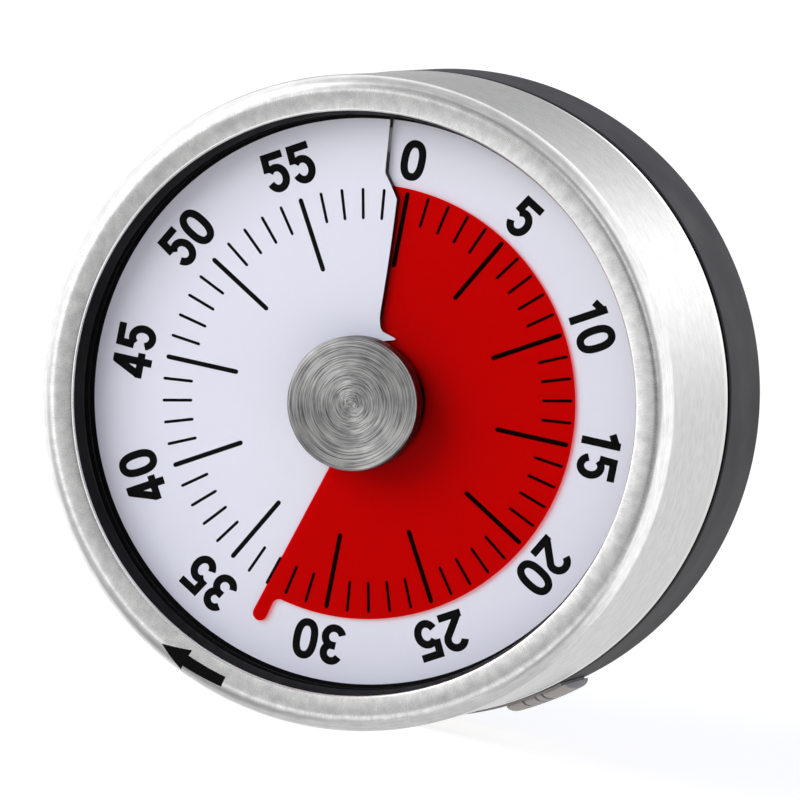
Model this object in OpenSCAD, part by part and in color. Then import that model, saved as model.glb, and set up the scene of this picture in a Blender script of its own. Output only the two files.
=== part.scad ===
// Ring-wound visual countdown timer with a sixty minute scale.
// Frame: X to the right of the reader, Y away from the reader, Z up. The timer stands on its foot
// at Z = 0 and the Z axis passes midway between the lip and the back. Millimetres.
//
// Every piece is drawn round its own axis first: z = 0 is the back, z grows towards the reader,
// x points right and y points up as the dial is read. seat() stands that drawing up in the frame.

/* [Case] */
// Outside diameter of the turning ring and of the base
case_d = 80; // [76:1:96]
// Length of the base's own outer wall, along the axis
base_len = 16.2; // [15.6:0.2:20]
// Open gap between the base and the turning ring
ring_gap = 0.6; // [0.4:0.1:1]
// Length of the turning ring, along the axis
ring_len = 28.2; // [27:0.2:34]
// Wall of the drawn steel shell
shell_wall = 0.7; // [0.5:0.05:1]
// Rounding of the shell's front edge
edge_r = 2.2; // [1.4:0.1:3]
// Diameter of the opening inside the steel lip
lip_d = 71; // [69:0.5:72]
// Wall of the moulded base
base_wall = 2.2; // [1.8:0.1:3]
// Rounding of the base's rear edge
base_edge_r = 1; // [0.6:0.1:1.6]
// How far the foot's sole lies below the ring
foot_drop = 0.3; // [0.2:0.05:0.6]

/* [Front] */
// Depth of the dial's middle level behind the lip
dial_depth = 6.1; // [5.6:0.1:7]
// Depth of the lens's outer face behind the lip
lens_depth = 3.5; // [3:0.1:3.7]
// Thickness of the clear lens
lens_t = 1.4; // [1:0.1:1.6]
// Diameter of the visible dial
dial_d = 69; // [66:0.5:69.4]
// Thickness of the dial sheet
dial_t = 0.2; // [0.1:0.05:0.3]
// Rise of the dial over one turn, from one lip of its slit to the other
dial_rise = 1.1; // [0.9:0.1:1.2]
// Diameter of the coloured time disc
disc_d = 53; // [48:0.5:56]
// Thickness of the time disc's film
disc_t = 0.1; // [0.05:0.01:0.12]
// Reach of the pointer tab on the time disc
pointer_reach = 30; // [29:0.2:31]
// Width of the pointer tab
pointer_w = 1.6; // [1.2:0.1:2.2]
// Minutes shown at rest
minutes_shown = 33; // [5:1:55]

/* [Knob] */
// Diameter of the spun metal knob cap
knob_d = 16.4; // [15:0.2:18]
// Wall of the knob cap
knob_wall = 0.8; // [0.6:0.1:1]
// Thickness of the coloured flange under the knob cap
knob_flange_t = 0.6; // [0.4:0.1:0.8]
// Diameter of the hub that carries the time disc
hub_d = 12; // [11:0.5:13]
// Diameter of the hub stem that passes through the lens
stem_d = 8; // [7:0.5:9]
// Diameter of the hole in the dial round the hub
dial_hole_d = 15.2; // [14.2:0.2:15.4]

/* [Base] */
// Thickness of the back cover
cover_t = 3; // [2.8:0.1:3.6]
// Thickness of the base's floor
floor_t = 1.8; // [1.4:0.1:2.4]
// Diameter of one magnet
magnet_d = 18; // [14:1:20]
// Thickness of one magnet
magnet_t = 2.2; // [1.6:0.1:2.4]
// Distance from the axis to each magnet
magnet_at = 16; // [15:0.5:18]
// Distance from the axis to each cover screw
cover_screw_at = 32; // [31:0.5:33]
// Angle over which the foot pad reaches to each side of the bottom
foot_half_angle = 35; // [28:1:42]
// Thickness of the foot pad
foot_t = 1.1; // [0.8:0.1:1.6]
// Length of the foot pad along the axis
foot_len = 11.5; // [9:0.5:12]
// Number of ribs on the foot pad
foot_ribs = 5; // [3:1:7]

/* [Movement] */
// Diameter of the two movement plates
plate_d = 61; // [60:0.5:66]
// Thickness of a movement plate
plate_t = 1; // [0.8:0.1:1.2]
// Clear height between the two plates
plate_gap = 12; // [11.6:0.1:12.4]
// Height of the posts that carry the movement
post_len = 10.2; // [10:0.1:11]
// Distance from the axis to the posts and pillars
post_at = 27; // [26.5:0.1:27.6]
// Gear module of the wheel train
gear_m = 0.4; // [0.36:0.01:0.4]
// Teeth of the great wheel
great_teeth = 60; // [54:6:60]
// Leaves of the second and the third pinion
pinion_leaves = 10; // [8:1:10]
// Teeth of the second wheel
second_teeth = 50; // [46:2:50]
// Teeth of the third wheel
third_teeth = 48; // [44:2:48]
// Leaves of the escape pinion
escape_leaves = 8; // [7:1:9]
// Teeth of the escape wheel
escape_teeth = 20; // [16:1:24]
// Diameter of the escape wheel
escape_d = 13; // [11:0.5:13.4]
// Thickness of a train wheel
wheel_t = 0.8; // [0.6:0.1:1]
// Diameter of the main arbor
arbor_d = 4; // [3.6:0.1:4.4]
// Outside diameter of the wound mainspring
spring_d = 17; // [15:0.5:17.4]
// Width of the mainspring's strip
spring_w = 6; // [5:0.2:6.2]
// Thickness of the mainspring's strip
spring_t = 0.35; // [0.25:0.05:0.45]
// Turns of the mainspring
spring_turns = 5; // [3:1:6]
// Diameter of the bell
bell_d = 38; // [34:1:40]
// Thickness of the bell's wall
bell_t = 1; // [0.8:0.1:1.2]

/* [Fits] */
// Radial clearance of the ring on the base's neck
neck_clear = 0.08; // [0.04:0.01:0.1]
// Radial clearance of a pivot in its plate
pivot_clear = 0.05; // [0.02:0.01:0.08]
// Clearance between pieces that are fixed to each other
seat_clear = 0.02; // [0.01:0.01:0.04]

/* [Hidden] */
$fn = 96;
fine = 180;

// Case, from the back to the lip
case_r = case_d / 2;
depth = base_len + ring_gap + ring_len;
axis_h = case_r + foot_drop;
ring_z = base_len + ring_gap;
lip_r = lip_d / 2;
shell_in_r = case_r - shell_wall;
shell_under_z = depth - shell_wall;

// The ring's liner fills the room between the dial's edge and the shell. The lens takes a quarter
// of that room as its seat.
dial_r = dial_d / 2;
sight_clear = 0.4;
liner_sight_r = dial_r + sight_clear;
liner_r = shell_in_r - seat_clear;
liner_room = liner_r - liner_sight_r;
liner_back_z = ring_z + 0.8;
lens_r = liner_sight_r + liner_room / 4;
lens_clear = 0.05;
lens_seat_lip = 0.9;
clamp_w = 1.1;
clamp_t = 0.4;

// Lens and dial
lens_front_z = depth - lens_depth;
lens_back_z = lens_front_z - lens_t;
dial_low_z = depth - dial_depth - dial_rise / 2;
disc_r = disc_d / 2;
hub_r = hub_d / 2;
stem_r = stem_d / 2;
knob_r = knob_d / 2;
arbor_r = arbor_d / 2;

// The slit of the dial: angle clockwise from twelve o'clock at each radius
slit_w = 0.12;
slit_radii = [dial_hole_d / 2, 9.8, 25, 28, dial_r];
slit_turns = [-0.5, 0, -1.6, -5.7, -5.7];
dial_steps = 72;

// Base and neck
cover_r = case_r - base_wall - 0.1;
floor_z = cover_t;
deck_z = floor_z + floor_t;
root_z = floor_z + floor_t / 2;
shoulder_t = 2;
liner_wall = 1.6;
neck_r = shell_in_r - liner_wall - neck_clear;
neck_wall = 1.7;
neck_in_r = neck_r - neck_wall;
carrier_t = 1.4;
carrier_z = lens_back_z - 6.1;
carrier_room = 1.6;
carrier_rim_r = dial_r - 1;
carrier_rim_w = 3;
carrier_pips = 12;
carrier_pip_r = 0.8;

// Movement levels
rear_z = deck_z + post_len;
gap_z = rear_z + plate_t;
front_z = gap_z + plate_gap;
front_top_z = front_z + plate_t;
second_wheel_lift = 1;
third_wheel_lift = 3.6;
escape_wheel_lift = 6.4;
pallet_bar_lift = 8.4;
second_wheel_z = gap_z + second_wheel_lift;
third_wheel_z = gap_z + third_wheel_lift;
escape_wheel_z = gap_z + escape_wheel_lift;
pallet_bar_z = gap_z + pallet_bar_lift;
great_wheel_z = front_z - 2.4;
cam_z = front_z - 1.1;
cam_t = 0.6;
cam_r = 5;
cam_notch_r = 1.2;
spring_z = great_wheel_z - 0.9 - spring_w;
pinion_len = 1.8;

// Train layout: distance and angle of each arbor from the main arbor
pivot_r = 0.6;
small_arbor_r = 0.9;
great_r = gear_m * great_teeth / 2;
second_r = gear_m * second_teeth / 2;
third_r = gear_m * third_teeth / 2;
pinion_r = gear_m * pinion_leaves / 2;
escape_pinion_r = gear_m * escape_leaves / 2;
escape_r = escape_d / 2;
function turn_between(a, b, c) = acos((a * a + b * b - c * c) / (2 * a * b));
function polar(r, a) = [r * cos(a), r * sin(a)];
function bearing(p, q) = atan2(q[1] - p[1], q[0] - p[0]);
second_at = great_r + pinion_r;
third_at = spring_d / 2 + third_r + gear_m + 0.5;
escape_at = 22;
pallet_at = 23.5;
pallet_reach = escape_r + 2;
second_a = 100;
third_a = second_a - turn_between(second_at, third_at, second_r + pinion_r);
escape_a = third_a - turn_between(third_at, escape_at, third_r + escape_pinion_r);
pallet_a = escape_a - turn_between(escape_at, pallet_at, pallet_reach);
second_p = polar(second_at, second_a);
third_p = polar(third_at, third_a);
escape_p = polar(escape_at, escape_a);
pallet_p = polar(pallet_at, pallet_a);
train = [second_p, third_p, escape_p, pallet_p];

// Angles of what repeats round the axis
post_angles = [158, 250, 338];
pillar_angles = [138, 230, 318];
cover_screw_angles = [50, 170, 290];
magnet_angles = [90, 210, 330];
post_r = 3.2;
pillar_r = 2;
pillar_end_r = 1;
screw_r = 1;
screw_head_r = 1.9;
screw_head_t = 1.2;
boss_r = 2.8;
boss_len = 4.2;
cover_head_r = 2.4;
cover_head_t = 1.3;
cover_head_sink = 0.3;
stud_r = 0.7;
stud_a = 250;

// Bell and hammer
bell_post_len = 3.2;
bell_post_r = 3;
bell_z = deck_z + bell_post_len;
bell_r = bell_d / 2;
bell_depth = 6;
bell_round = 3.4;
bell_head_r = 2.6;
hammer_at = 24;
hammer_a = 190;
hammer_p = polar(hammer_at, hammer_a);
hammer_head_r = 1.6;
hammer_head_p = polar(bell_r + 0.6 + hammer_head_r, hammer_a + 32);
hammer_z = bell_z + 3.6;
hammer_t = 1.6;

// Stands a piece that was drawn round its own axis up in the part's frame.
module seat() translate([0, depth / 2, axis_h]) rotate([90, 0, 0]) children();

// A rod of radius r between two levels.
module rod(r, z0, z1) translate([0, 0, z0]) cylinder(r = r, h = z1 - z0);

// A tube between two levels.
module tube(r_out, r_in, z0, z1) translate([0, 0, z0]) difference() {
    cylinder(r = r_out, h = z1 - z0);
    translate([0, 0, -1]) cylinder(r = r_in, h = z1 - z0 + 2);
}

// Copies the children to each of some angles at one distance from the axis.
module round_axis(at, angles) for (a = angles) rotate([0, 0, a]) translate([at, 0, 0]) children();

// Moves the children to a point of the plan.
module at_point(p) translate([p[0], p[1], 0]) children();

// A Phillips recess, cut from the face at level z towards +z.
module cross_recess(z, r) for (a = [0, 90]) rotate([0, 0, a])
    translate([-r, -r / 4, z - 1]) cube([2 * r, r / 2, 1.6]);

// Outline of a gear with n teeth, one of them centred at the angle first.
function gear_outline(n, first, tip, root) = let (r = gear_m * n / 2, step = 360 / n)
    [for (i = [0 : n - 1]) for (c = [[-root, -1.1], [-tip, 0.8], [tip, 0.8], [root, -1.1]])
        polar(r + c[1] * gear_m, first + (i + c[0]) * step)];

// A train wheel: toothed rim, four arms and a hub with a bore for its arbor.
module train_wheel(n, first, bore_r, z, t) {
    rim_r = gear_m * n / 2 - 2.6 * gear_m;
    hub = bore_r + 1.2;
    translate([0, 0, z]) difference() {
        linear_extrude(t) polygon(gear_outline(n, first, 0.1, 0.27));
        translate([0, 0, -1]) cylinder(r = bore_r, h = t + 2);
        for (a = [45 : 90 : 315]) rotate([0, 0, a + first]) translate([0, 0, -1])
            linear_extrude(t + 2) intersection() {
                difference() { circle(rim_r); circle(hub); }
                translate([1.1, 1.1]) square(rim_r);
            }
    }
}

// An arbor with its pinion: pivots in both plates, a body and the pinion's leaves.
module pinion_arbor(n, first, z_pinion) {
    rod(pivot_r, rear_z + 0.1, gap_z + 0.3);
    rod(small_arbor_r, gap_z + 0.3, front_z - 0.3);
    rod(pivot_r, front_z - 0.3, front_top_z - 0.1);
    translate([0, 0, z_pinion]) linear_extrude(pinion_len) polygon(gear_outline(n, first, 0.09, 0.2));
}

// Half section of a round block from level z0 to top, with its front edge rounded.
module round_block(side, z0, top, round_r) {
    translate([0, z0]) square([side, top - round_r - z0]);
    translate([0, z0]) square([side - round_r, top - z0]);
    translate([side - round_r, top - round_r]) circle(round_r);
}

// Drawn shell: wall, rounded front edge and flat lip with a broken inner edge.
module steel_shell() color("silver") seat() rotate_extrude($fn = fine) difference() {
    round_r = min(edge_r, case_r - lip_r);
    round_block(case_r, ring_z, depth, round_r);
    round_block(shell_in_r, ring_z - 1, shell_under_z, max(round_r - shell_wall, 0.01));
    translate([0, shell_under_z - 0.01]) square([lip_r, shell_wall + 1]);
    translate([lip_r, depth]) rotate(45) square(0.5, center = true);
}

// Black liner of the ring: a sleeve that runs on the base's neck, a shelf in front of the dial's
// carrier, the lens seat, and the dark wall that slopes up to the lip.
module ring_liner() color([0.09, 0.09, 0.1]) seat() rotate_extrude($fn = fine) difference() {
    bore_r = neck_r + neck_clear;
    shelf_z = carrier_z + carrier_t + carrier_room;
    slope_z = lens_front_z + lens_seat_lip;
    top = shell_under_z - seat_clear;
    chamfer = min(edge_r, liner_room / 2);
    union() {
        translate([bore_r, liner_back_z]) square([liner_r - bore_r, top - liner_back_z]);
        translate([liner_sight_r, shelf_z]) square([liner_room, top - shelf_z]);
    }
    translate([0, shelf_z]) square([liner_sight_r, depth]);
    translate([0, shelf_z - 0.01])
        square([lens_r + lens_clear, lens_front_z + seat_clear - shelf_z + 0.01]);
    polygon([[0, slope_z], [liner_sight_r, slope_z], [lip_r, top], [lip_r, depth], [0, depth]]);
    translate([liner_r, top]) rotate(45) square(chamfer * sqrt(2), center = true);
}

module lens() color([0.9, 0.95, 1, 0.35]) seat()
    tube(lens_r, stem_r + seat_clear, lens_back_z, lens_front_z);

// Spring ring that holds the lens from behind.
module lens_clamp() color([0.08, 0.08, 0.09]) seat() tube(lens_r + lens_clear / 2,
    lens_r + lens_clear / 2 - clamp_w, lens_back_z - seat_clear - clamp_t, lens_back_z - seat_clear);

module base_cup() color([0.27, 0.27, 0.29]) seat() difference() {
    union() {
        rotate_extrude($fn = fine) {
            difference() {
                union() {
                    translate([0, base_edge_r]) square([case_r, base_len - base_edge_r]);
                    square([case_r - base_edge_r, base_len]);
                    translate([case_r - base_edge_r, base_edge_r]) circle(base_edge_r);
                }
                translate([-1, -1]) square([case_r - base_wall + 1, floor_z + 1]);
                translate([-1, deck_z])
                    square([case_r - base_wall + 1, base_len - shoulder_t - deck_z]);
                translate([-1, deck_z]) square([neck_in_r + 1, base_len]);
            }
            translate([neck_in_r, base_len - shoulder_t])
                square([neck_wall, carrier_z - base_len + shoulder_t]);
        }
        round_axis(post_at, post_angles) rod(post_r, root_z, rear_z);
        round_axis(cover_screw_at, cover_screw_angles) rod(boss_r, root_z, deck_z + boss_len);
        rod(bell_post_r, root_z, bell_z);
    }
    round_axis(post_at, post_angles) rod(screw_r + seat_clear, deck_z + 2, rear_z + 1);
    round_axis(cover_screw_at, cover_screw_angles) {
        rod(screw_r + seat_clear, floor_z - 1, deck_z + boss_len - 0.6);
        rod(cover_head_r + 0.1, -1, cover_head_sink + cover_head_t);
    }
    rod(screw_r + seat_clear, deck_z + 0.4, bell_z + 1);
}

module back_cover() color([0.25, 0.25, 0.27]) seat() difference() {
    rod(cover_r, 0, cover_t);
    round_axis(magnet_at, magnet_angles) rod(magnet_d / 2 + 0.05, -1, magnet_t + seat_clear);
    round_axis(cover_screw_at, cover_screw_angles) {
        rod(screw_r + 0.1, -1, cover_t + 1);
        rod(cover_head_r + 0.1, -1, cover_head_sink + cover_head_t);
    }
    translate([0, 0, -0.01]) tube(cover_r - 1.4, cover_r - 2, 0, 0.4);
}

module magnets() color([0.75, 0.76, 0.78]) seat()
    round_axis(magnet_at, magnet_angles) rod(magnet_d / 2, 0, magnet_t);

module cover_screws() color([0.6, 0.61, 0.63]) seat() round_axis(cover_screw_at, cover_screw_angles)
    difference() {
        union() {
            rod(cover_head_r, cover_head_sink, cover_head_sink + cover_head_t);
            rod(screw_r, cover_head_sink + cover_head_t - 0.1, deck_z + boss_len - 0.9);
        }
        cross_recess(cover_head_sink, 1.4);
    }

// Half section of the ribbed foot pad: a band with round ribs that run round the base.
module foot_section() {
    pitch = foot_len / foot_ribs;
    rib_r = pitch * 0.36;
    inner = case_r + seat_clear;
    translate([inner, 0]) square([foot_t - rib_r / 2, foot_len]);
    intersection() {
        translate([inner, 0]) square([foot_t, foot_len]);
        for (i = [0 : foot_ribs - 1]) translate([inner + foot_t - rib_r, (i + 0.5) * pitch])
            circle(rib_r, $fn = 32);
    }
}

module foot_pad() color([0.72, 0.72, 0.7]) seat() difference() {
    translate([0, 0, (base_len - foot_len) / 2 + 0.4]) rotate([0, 0, 270 - foot_half_angle])
        rotate_extrude(angle = 2 * foot_half_angle, $fn = fine) foot_section();
    translate([-case_r, -axis_h - case_r, -1]) cube([case_d, case_r, depth]);
}

module bell() color([0.8, 0.81, 0.83]) seat() difference() {
    translate([0, 0, bell_z]) rotate_extrude() difference() {
        union() {
            square([bell_r - bell_round, bell_depth]);
            translate([0, bell_round]) square([bell_r, bell_depth - bell_round]);
            translate([bell_r - bell_round, bell_round]) circle(bell_round);
        }
        translate([-1, bell_t]) square([bell_r - bell_round + 1, bell_depth]);
        translate([-1, bell_round]) square([bell_r - bell_t + 1, bell_depth]);
        translate([bell_r - bell_round, bell_round]) circle(bell_round - bell_t);
    }
    rod(screw_r + 0.05, bell_z - 1, bell_z + bell_t + 1);
}

module bell_screw() color([0.7, 0.7, 0.72]) seat() difference() {
    union() {
        rod(screw_r, deck_z + 0.6, bell_z + bell_t + 0.1);
        rod(bell_head_r, bell_z + bell_t, bell_z + bell_t + screw_head_t);
    }
    translate([0, 0, bell_z + bell_t + screw_head_t]) mirror([0, 0, 1]) cross_recess(0, 1.5);
}

// One movement plate with its bearing holes; the main arbor's hole has its own radius.
module plate(z, main_r) difference() {
    rod(plate_d / 2, z, z + plate_t);
    rod(main_r + pivot_clear, z - 1, z + plate_t + 1);
    for (p = train) at_point(p) rod(pivot_r + pivot_clear, z - 1, z + plate_t + 1);
    at_point(hammer_p) rod(small_arbor_r + pivot_clear, z - 1, z + plate_t + 1);
    round_axis(post_at, pillar_angles) rod(pillar_end_r + seat_clear, z - 1, z + plate_t + 1);
}

module rear_plate() color([0.78, 0.66, 0.36]) seat() difference() {
    plate(rear_z, pivot_r * 2);
    round_axis(post_at, post_angles) rod(screw_r + 0.1, rear_z - 1, gap_z + 1);
    at_point(polar(spring_d / 2 + stud_r + 0.2, stud_a)) rod(stud_r + seat_clear, rear_z - 1, gap_z + 1);
}

module front_plate() color([0.78, 0.66, 0.36]) seat() difference() {
    plate(front_z, arbor_r);
    round_axis(post_at, post_angles) rod(screw_head_r + 0.6, front_z - 1, front_top_z + 1);
}

module pillars() color([0.72, 0.62, 0.36]) seat() round_axis(post_at, pillar_angles) {
    rod(pillar_r, gap_z, front_z);
    rod(pillar_end_r, rear_z, front_top_z + 1.2);
}

module pillar_nuts() color([0.72, 0.62, 0.36]) seat() round_axis(post_at, pillar_angles) difference() {
    translate([0, 0, front_top_z]) cylinder(r = 2.2, h = 1.2, $fn = 6);
    rod(pillar_end_r + seat_clear, front_top_z - 1, front_top_z + 3);
}

module movement_screws() color([0.65, 0.65, 0.67]) seat() round_axis(post_at, post_angles) difference() {
    union() {
        rod(screw_r, deck_z + 2.4, gap_z + 0.1);
        rod(screw_head_r, gap_z, gap_z + screw_head_t);
    }
    translate([0, 0, gap_z + screw_head_t]) mirror([0, 0, 1]) cross_recess(0, 1.2);
}

// Flat spiral strip: its inner end lies on the arbor and its outer end reaches the stud.
function spiral(r0, r1, turns, side) = let (steps = 24 * turns)
    [for (i = [0 : steps]) let (k = i / steps)
        polar(r0 + (r1 - r0) * k + side * spring_t / 2, stud_a + 360 * turns * (k - 1))];

module mainspring() color([0.35, 0.38, 0.45]) seat() translate([0, 0, spring_z]) linear_extrude(spring_w) {
    r0 = arbor_r + spring_t / 2 + seat_clear;
    r1 = spring_d / 2 - spring_t / 2;
    outer = spiral(r0, r1, spring_turns, 1);
    inner = spiral(r0, r1, spring_turns, -1);
    polygon(concat(outer, [for (i = [len(inner) - 1 : -1 : 0]) inner[i]]));
}

module spring_stud() color([0.7, 0.7, 0.72]) seat()
    at_point(polar(spring_d / 2 + stud_r + 0.2, stud_a)) rod(stud_r, rear_z, spring_z + spring_w);

// Grid of a sheet that climbs like a screw. Rows run outwards, columns run clockwise. Each row
// gives its radius and the angle it starts at; z_top(i) is the level of column i.
function sheet_faces(rows, cols) = let (n = rows * cols) concat(
    [for (j = [0 : rows - 2]) for (i = [0 : cols - 2]) let (a = j * cols + i)
        each [[a, a + 1, a + cols + 1], [a, a + cols + 1, a + cols],
              [n + a, n + a + cols + 1, n + a + 1], [n + a, n + a + cols, n + a + cols + 1]]],
    [for (i = [0 : cols - 2]) let (b = (rows - 1) * cols + i)
        each [[i, n + i, n + i + 1], [i, n + i + 1, i + 1], [b, b + 1, n + b + 1], [b, n + b + 1, n + b]]],
    [for (j = [0 : rows - 2]) let (a = j * cols, c = a + cols - 1)
        each [[a, a + cols, n + a + cols], [a, n + a + cols, n + a],
              [c, n + c, n + c + cols], [c, n + c + cols, c + cols]]]);

// Point at radius r, clockwise angle a from twelve o'clock and level z.
function clock_point(r, a, z) = [r * sin(a), r * cos(a), z];

// White dial sheet, slit from its hole to its rim and rising clockwise by dial_rise.
module dial() {
    rows = len(slit_radii);
    function at(j, i, drop) = let (gap_a = slit_w / slit_radii[j] * 180 / PI, k = i / dial_steps)
        clock_point(slit_radii[j], slit_turns[j] + (360 - gap_a) * k, dial_low_z + dial_rise * k - drop);
    color([0.88, 0.89, 0.93]) seat() polyhedron(points = concat(
            [for (j = [0 : rows - 1]) for (i = [0 : dial_steps]) at(j, i, 0)],
            [for (j = [0 : rows - 1]) for (i = [0 : dial_steps]) at(j, i, dial_t)]),
        faces = sheet_faces(rows, dial_steps + 1), convexity = 8);
}

// Carrier under the dial: a floor, a spigot into the neck, a low rim and a row of pips that climb
// clockwise, so that the dial's margin lies on them all the way round.
module dial_carrier() color([0.8, 0.8, 0.8]) seat() {
    floor_top = carrier_z + carrier_t;
    rim_top = dial_low_z - dial_t - seat_clear;
    tube(neck_r - 0.3, hub_r + 0.5, carrier_z, floor_top);
    tube(neck_in_r - 0.1, neck_in_r - 1.5, carrier_z - 2.6, carrier_z + 0.1);
    tube(carrier_rim_r, carrier_rim_r - carrier_rim_w, floor_top - 0.1, rim_top);
    for (k = [0 : carrier_pips - 1])
        rotate([0, 0, 90 - slit_turns[3] - (k + 0.5) * 360 / carrier_pips])
            translate([carrier_rim_r - carrier_rim_w / 2, 0, 0])
                rod(carrier_pip_r, floor_top, rim_top + dial_rise * k / carrier_pips);
}

// Columns of the time disc: angle behind the leading edge, and the outer radius there.
disc_lead = 360 / 60 * minutes_shown + pointer_w / 2 / pointer_reach * 180 / PI;
tab_turn = pointer_w / pointer_reach * 180 / PI;
disc_columns = concat(
    [[0, pointer_reach - 0.5], [tab_turn / 4, pointer_reach], [tab_turn * 3 / 4, pointer_reach],
     [tab_turn, pointer_reach - 0.5], [tab_turn * 1.05, disc_r + 0.7], [tab_turn * 1.3, disc_r + 0.2],
     [tab_turn * 1.8, disc_r]],
    [for (a = [10 : 8 : 354]) [a, disc_r]]);

// Coloured film: a full turn that passes through the dial's slit, with its pointer tab.
module time_disc() {
    cols = len(disc_columns);
    radii = [hub_r + seat_clear, disc_r - 2];
    function at(j, i, z_side) = let (c = disc_columns[i], r = j < 2 ? radii[j] : c[1])
        clock_point(r, disc_lead - c[0], dial_low_z + dial_rise * (1 - c[0] / 360) + z_side * disc_t / 2);
    color([0.75, 0.02, 0.03, 0.85]) seat() polyhedron(points = concat(
            [for (j = [0 : 2]) for (i = [0 : cols - 1]) at(j, i, -1)],
            [for (j = [0 : 2]) for (i = [0 : cols - 1]) at(j, i, 1)]),
        faces = sheet_faces(3, cols), convexity = 8);
}

// Hub below the lens: carries the time disc and grips the main arbor.
module disc_hub() color([0.72, 0.03, 0.04]) seat() difference() {
    rod(hub_r, carrier_z - 1, lens_back_z - seat_clear);
    rod(arbor_r + seat_clear, carrier_z - 2, lens_back_z + 1);
    rod(stem_r + seat_clear, lens_back_z - 0.6, lens_back_z + 1);
}

// Hub above the lens: stem through the lens, coloured flange and spigot for the cap.
module knob_hub() color([0.72, 0.03, 0.04]) seat() difference() {
    flange_z = lens_front_z + seat_clear;
    union() {
        rod(stem_r, lens_back_z - 0.5, flange_z + 0.1);
        rod(knob_r + 0.1, flange_z, lens_front_z + knob_flange_t);
        rod(knob_r - knob_wall - seat_clear, lens_front_z + knob_flange_t - 0.1, depth - knob_wall - 0.1);
    }
    rod(arbor_r + seat_clear, lens_back_z - 2, depth - knob_wall - 0.8);
}

// Spun metal cap with a shallow dish in its face.
module knob_cap() color([0.72, 0.71, 0.69]) seat() rotate_extrude() difference() {
    round_r = 0.4;
    dimple_r = 0.6;
    dimple_depth = 0.15;
    round_block(knob_r, lens_front_z + knob_flange_t + seat_clear, depth, round_r);
    translate([-1, 0]) square([knob_r - knob_wall + 1, depth - knob_wall]);
    translate([-1, depth - dimple_depth]) square([dimple_r + 1, 1]);
}

module main_arbor() color([0.75, 0.76, 0.78]) seat() {
    rod(pivot_r * 2, rear_z + 0.1, gap_z + 0.4);
    rod(arbor_r, gap_z + 0.4, depth - knob_wall - 1);
}

module great_wheel() color([0.8, 0.68, 0.36]) seat()
    train_wheel(great_teeth, second_a, arbor_r + seat_clear, great_wheel_z, 1);

// Cam on the main arbor: the hammer's finger drops into its notch at zero minutes.
module alarm_cam() color([0.7, 0.7, 0.72]) seat() difference() {
    rod(cam_r, cam_z, cam_z + cam_t);
    rod(arbor_r + seat_clear, cam_z - 1, cam_z + 2);
    rotate([0, 0, hammer_a - 360 / 60 * minutes_shown]) translate([cam_r, 0, 0])
        rod(cam_notch_r, cam_z - 1, cam_z + 2);
}

module second_wheel() color([0.8, 0.68, 0.36]) seat() at_point(second_p) train_wheel(
    second_teeth, bearing(second_p, third_p), small_arbor_r + seat_clear, second_wheel_z, wheel_t);

module second_arbor() color([0.75, 0.76, 0.78]) seat() at_point(second_p)
    pinion_arbor(pinion_leaves, second_a + 180 + 180 / pinion_leaves, great_wheel_z - 0.4);

module third_wheel() color([0.8, 0.68, 0.36]) seat() at_point(third_p) train_wheel(
    third_teeth, bearing(third_p, escape_p), small_arbor_r + seat_clear, third_wheel_z, wheel_t);

module third_arbor() color([0.75, 0.76, 0.78]) seat() at_point(third_p)
    pinion_arbor(pinion_leaves, bearing(third_p, second_p) + 180 / pinion_leaves, second_wheel_z - 0.5);

// Escape wheel with raked, pointed teeth.
module escape_wheel() color([0.8, 0.68, 0.36]) seat() at_point(escape_p) translate([0, 0, escape_wheel_z])
    difference() {
        step = 360 / escape_teeth;
        tooth = [[1.5, 0], [0, 0.75], [0, 0.85]];
        linear_extrude(wheel_t) polygon([for (i = [0 : escape_teeth - 1]) for (p = tooth)
            polar(escape_r - p[0], (i + p[1]) * step)]);
        rod(small_arbor_r + seat_clear, -1, wheel_t + 1);
        round_axis(escape_r / 2 - 0.1, [0 : 90 : 270]) rod(1, -1, wheel_t + 1);
    }

module escape_arbor() color([0.75, 0.76, 0.78]) seat() at_point(escape_p)
    pinion_arbor(escape_leaves, bearing(escape_p, third_p) + 180 / escape_leaves, third_wheel_z - 0.5);

// Pallet lever: hub, two arms that end in pins beside the escape wheel, and the inertia bar.
module pallet_lever() color([0.7, 0.7, 0.72]) seat() at_point(pallet_p) {
    pin_r = 0.35;
    pin_ring = escape_r + 0.5 + pin_r;
    pin_spread = 26;
    to_escape = bearing(pallet_p, escape_p);
    arm_w = 0.9;
    difference() {
        union() {
            rod(1.7, pallet_bar_z - 1.6, pallet_bar_z + 1);
            for (s = [-1, 1]) {
                pin = escape_p - pallet_p + polar(pin_ring, to_escape + 180 + s * pin_spread);
                translate([0, 0, pallet_bar_z - 1]) rotate([0, 0, atan2(pin[1], pin[0])])
                    translate([0, -arm_w / 2, 0]) cube([norm(pin) + pin_r + 0.15, arm_w, 0.8]);
                at_point(pin) rod(pin_r, escape_wheel_z - 0.3, pallet_bar_z - 0.9);
            }
            rotate([0, 0, to_escape + 90]) translate([-5.5, -0.6, pallet_bar_z]) cube([11, 1.2, 0.8]);
            for (s = [-1, 1]) rotate([0, 0, to_escape + 90]) translate([s * 5, 0, 0])
                rod(1.3, pallet_bar_z - 0.5, pallet_bar_z + 1.3);
        }
        rod(small_arbor_r + seat_clear, gap_z, front_z);
    }
}

module pallet_arbor() color([0.75, 0.76, 0.78]) seat() at_point(pallet_p) {
    rod(pivot_r, rear_z + 0.1, gap_z + 0.3);
    rod(small_arbor_r, gap_z + 0.3, front_z - 0.3);
    rod(pivot_r, front_z - 0.3, front_top_z - 0.1);
}

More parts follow.
